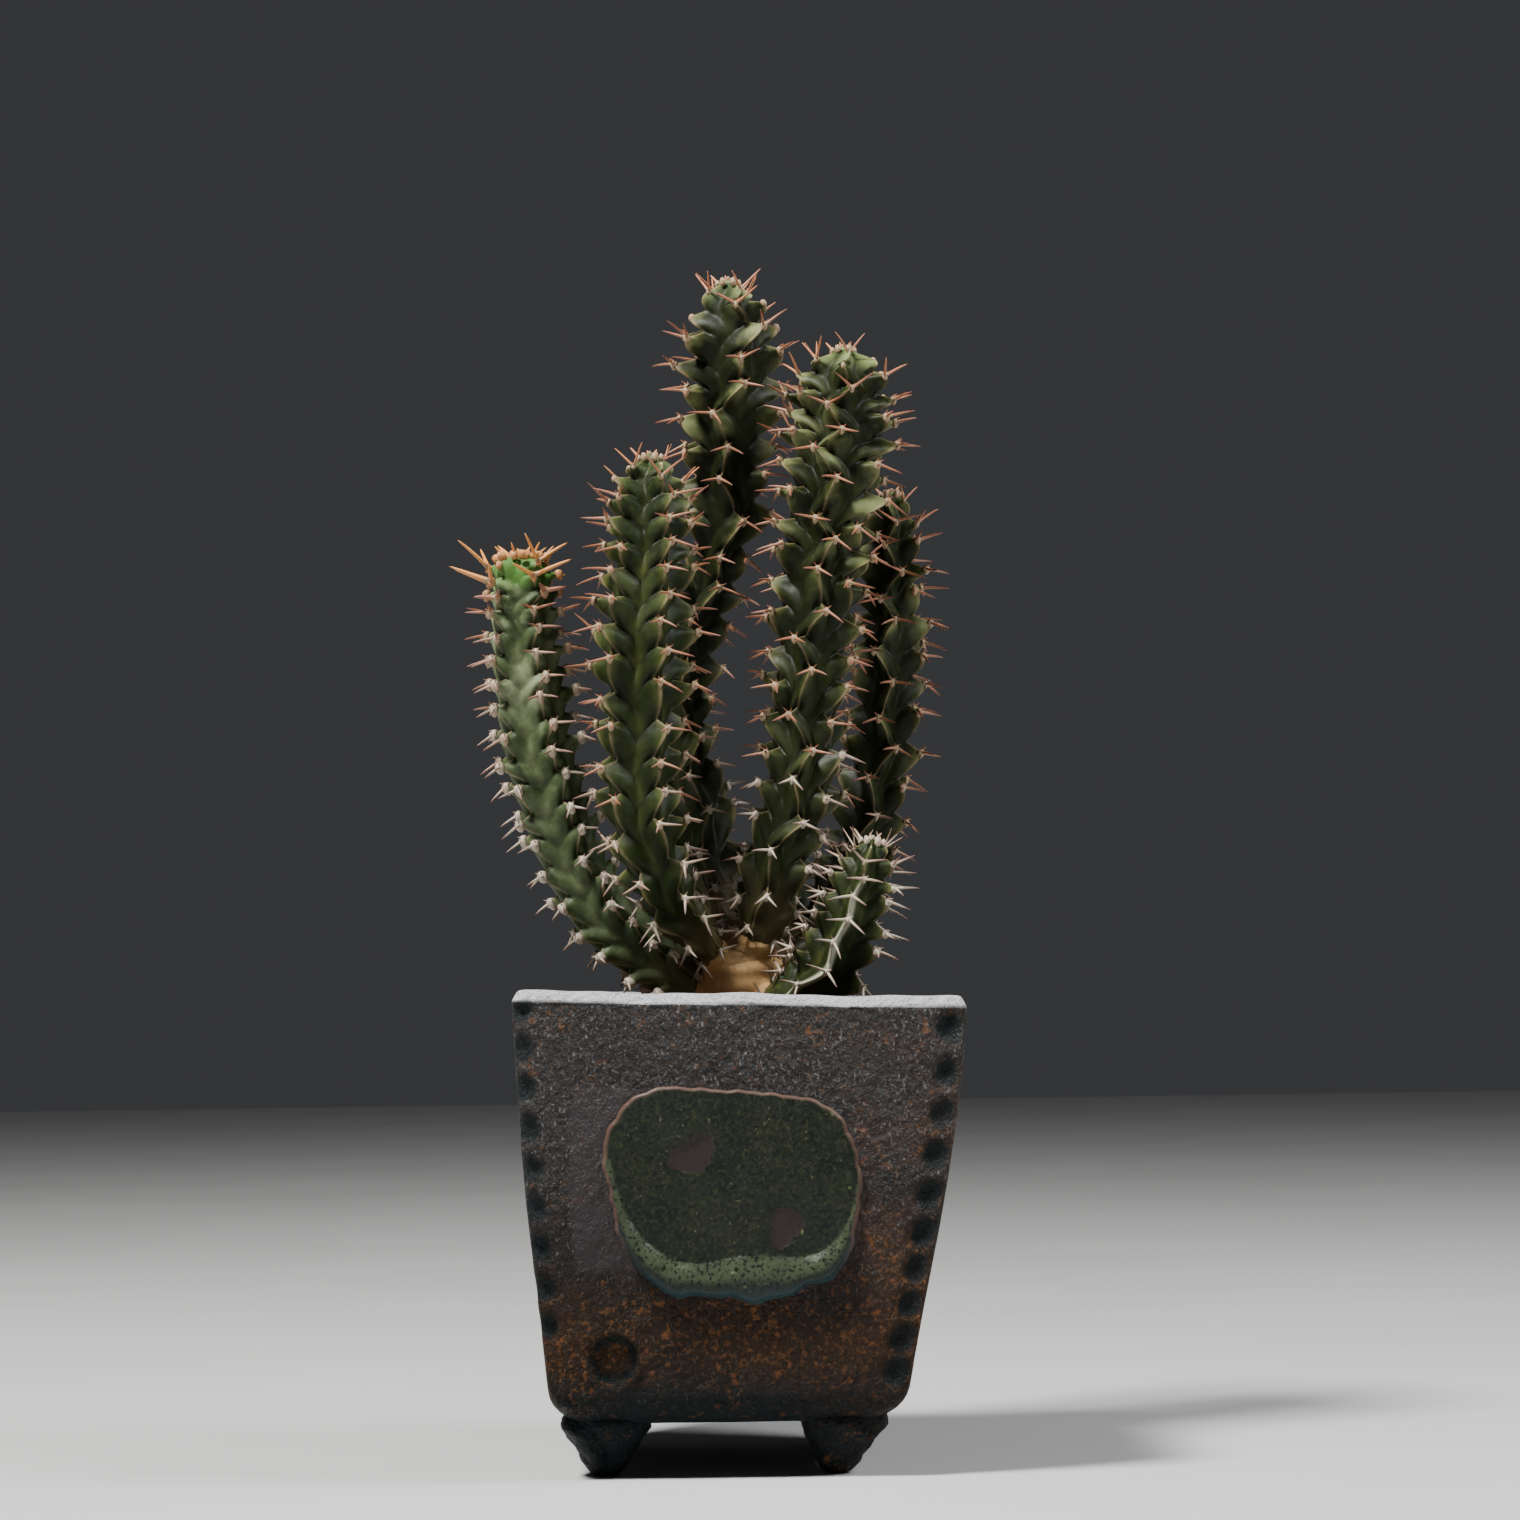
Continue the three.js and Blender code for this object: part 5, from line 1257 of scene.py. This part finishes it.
def bark_finish():
    finish, tree, shader = new_finish("tan_bark", 0.68, 0.3)
    place = put(tree, "ShaderNodeSeparateXYZ", {0: coordinates(tree)})
    body = blend(tree, ramp(tree, noise(tree, 110, 4), 0.35, 0.65), (0.36, 0.18, 0.07), (0.62, 0.37, 0.16))
    golden = ramp(tree, noise(tree, 90, 3, 0.5, (0.5, 0.5, 1.6)), 0.46, 0.62)
    body = lay_over(tree, body, golden, 0.55, (0.7, 0.48, 0.22))
    banded = ramp(tree, noise(tree, 150, 3, 0.5, (0.35, 0.35, 2.2)), 0.5, 0.62)
    body = lay_over(tree, body, banded, 0.4, (0.2, 0.1, 0.045))
    speckled = ramp(tree, noise(tree, 700, 4, 0.6), 0.55, 0.7)
    body = lay_over(tree, body, speckled, 0.35, (0.16, 0.07, 0.03))
    low = ramp(tree, (place, "Z"), 0.1, 0.09)
    body = lay_over(tree, body, low, 0.75, (0.1, 0.045, 0.022))
    high = times(tree, ramp(tree, (place, "Z"), 0.107, 0.113), ramp(tree, noise(tree, 120, 3), 0.35, 0.6))
    body = lay_over(tree, body, high, 0.7, (0.13, 0.13, 0.05))
    feed(tree, body, shader, "Base Color")
    ridged = bump(tree, 0.4, 0.0005, banded)
    rough = bump(tree, 0.5, 0.0003, noise(tree, 600, 5, 0.6), ridged)
    feed(tree, rough, shader, "Normal")
    return finish


trunk = make_trunk()
trunk.data.materials.append(bark_finish())
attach(trunk, "root")
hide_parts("trunk")


# The studio: a pale floor that the pot stands on, a soft light high on the left, a weaker one on the right
# and a faint one in front, under a dim even sky.
bpy.ops.object.select_all(action="DESELECT")
bpy.ops.mesh.primitive_plane_add(size=6, location=(0, 0, 0))
ground = bpy.context.object
ground.name = "floor"
ground_finish, ground_tree, ground_shader = new_finish("pale_floor", 0.85, 0.2)
ground_tone = blend(ground_tree, ramp(ground_tree, noise(ground_tree, 6, 3), 0.3, 0.7),
                    (0.5, 0.5, 0.5), (0.54, 0.54, 0.54))
feed(ground_tree, ground_tone, ground_shader, "Base Color")
ground.data.materials.append(ground_finish)


def add_light(name, place, aim, size, power, colour):
    bpy.ops.object.light_add(type="AREA", location=place)
    light = bpy.context.object
    light.name = name
    light.data.size, light.data.energy, light.data.color = size, power, colour
    way = [aim[i] - place[i] for i in range(3)]
    tilt, turn = math.atan2(math.hypot(way[0], way[1]), -way[2]), math.atan2(way[1], way[0]) - math.pi / 2
    light.rotation_euler = (tilt, 0, turn)


add_light("left_softbox", (-0.45, -0.42, 1.1), (0, 0, 0.12), 0.2, 36, (1, 0.99, 0.96))
add_light("right_softbox", (0.65, -0.22, 0.72), (0, 0, 0.14), 0.28, 8, (0.97, 0.98, 1))
add_light("front_fill", (0.1, -1.5, 0.35), (0, 0, 0.1), 0.9, 0.09, (1, 1, 1))
world = bpy.context.scene.world or bpy.data.worlds.new("studio")
bpy.context.scene.world = world
world.use_nodes = True
world.node_tree.nodes["Background"].inputs[0].default_value = (0.93, 0.95, 1, 1)
world.node_tree.nodes["Background"].inputs[1].default_value = 0.045


# The camera: level with the rim and a little right of the pot's middle, looking up a little, as in the
# photograph.
photo_focal_pixels, photo_pixels = 3928, 1520
camera_place = (5.4, -856, 99.3)
camera_rise, camera_roll = math.atan(239.6 / photo_focal_pixels), math.radians(0.8)
bpy.ops.object.camera_add(location=[camera_place[i] * MM + pot_axis[i] for i in range(3)],
                          rotation=(math.pi / 2 + camera_rise, 0, 0))
camera = bpy.context.object
camera.rotation_euler.rotate_axis("Z", -camera_roll)
camera.data.sensor_fit = "HORIZONTAL"
camera.data.angle = 2 * math.atan(photo_pixels / 2 / photo_focal_pixels)
camera.data.clip_start, camera.data.clip_end = 0.05, 20
bpy.context.scene.camera = camera
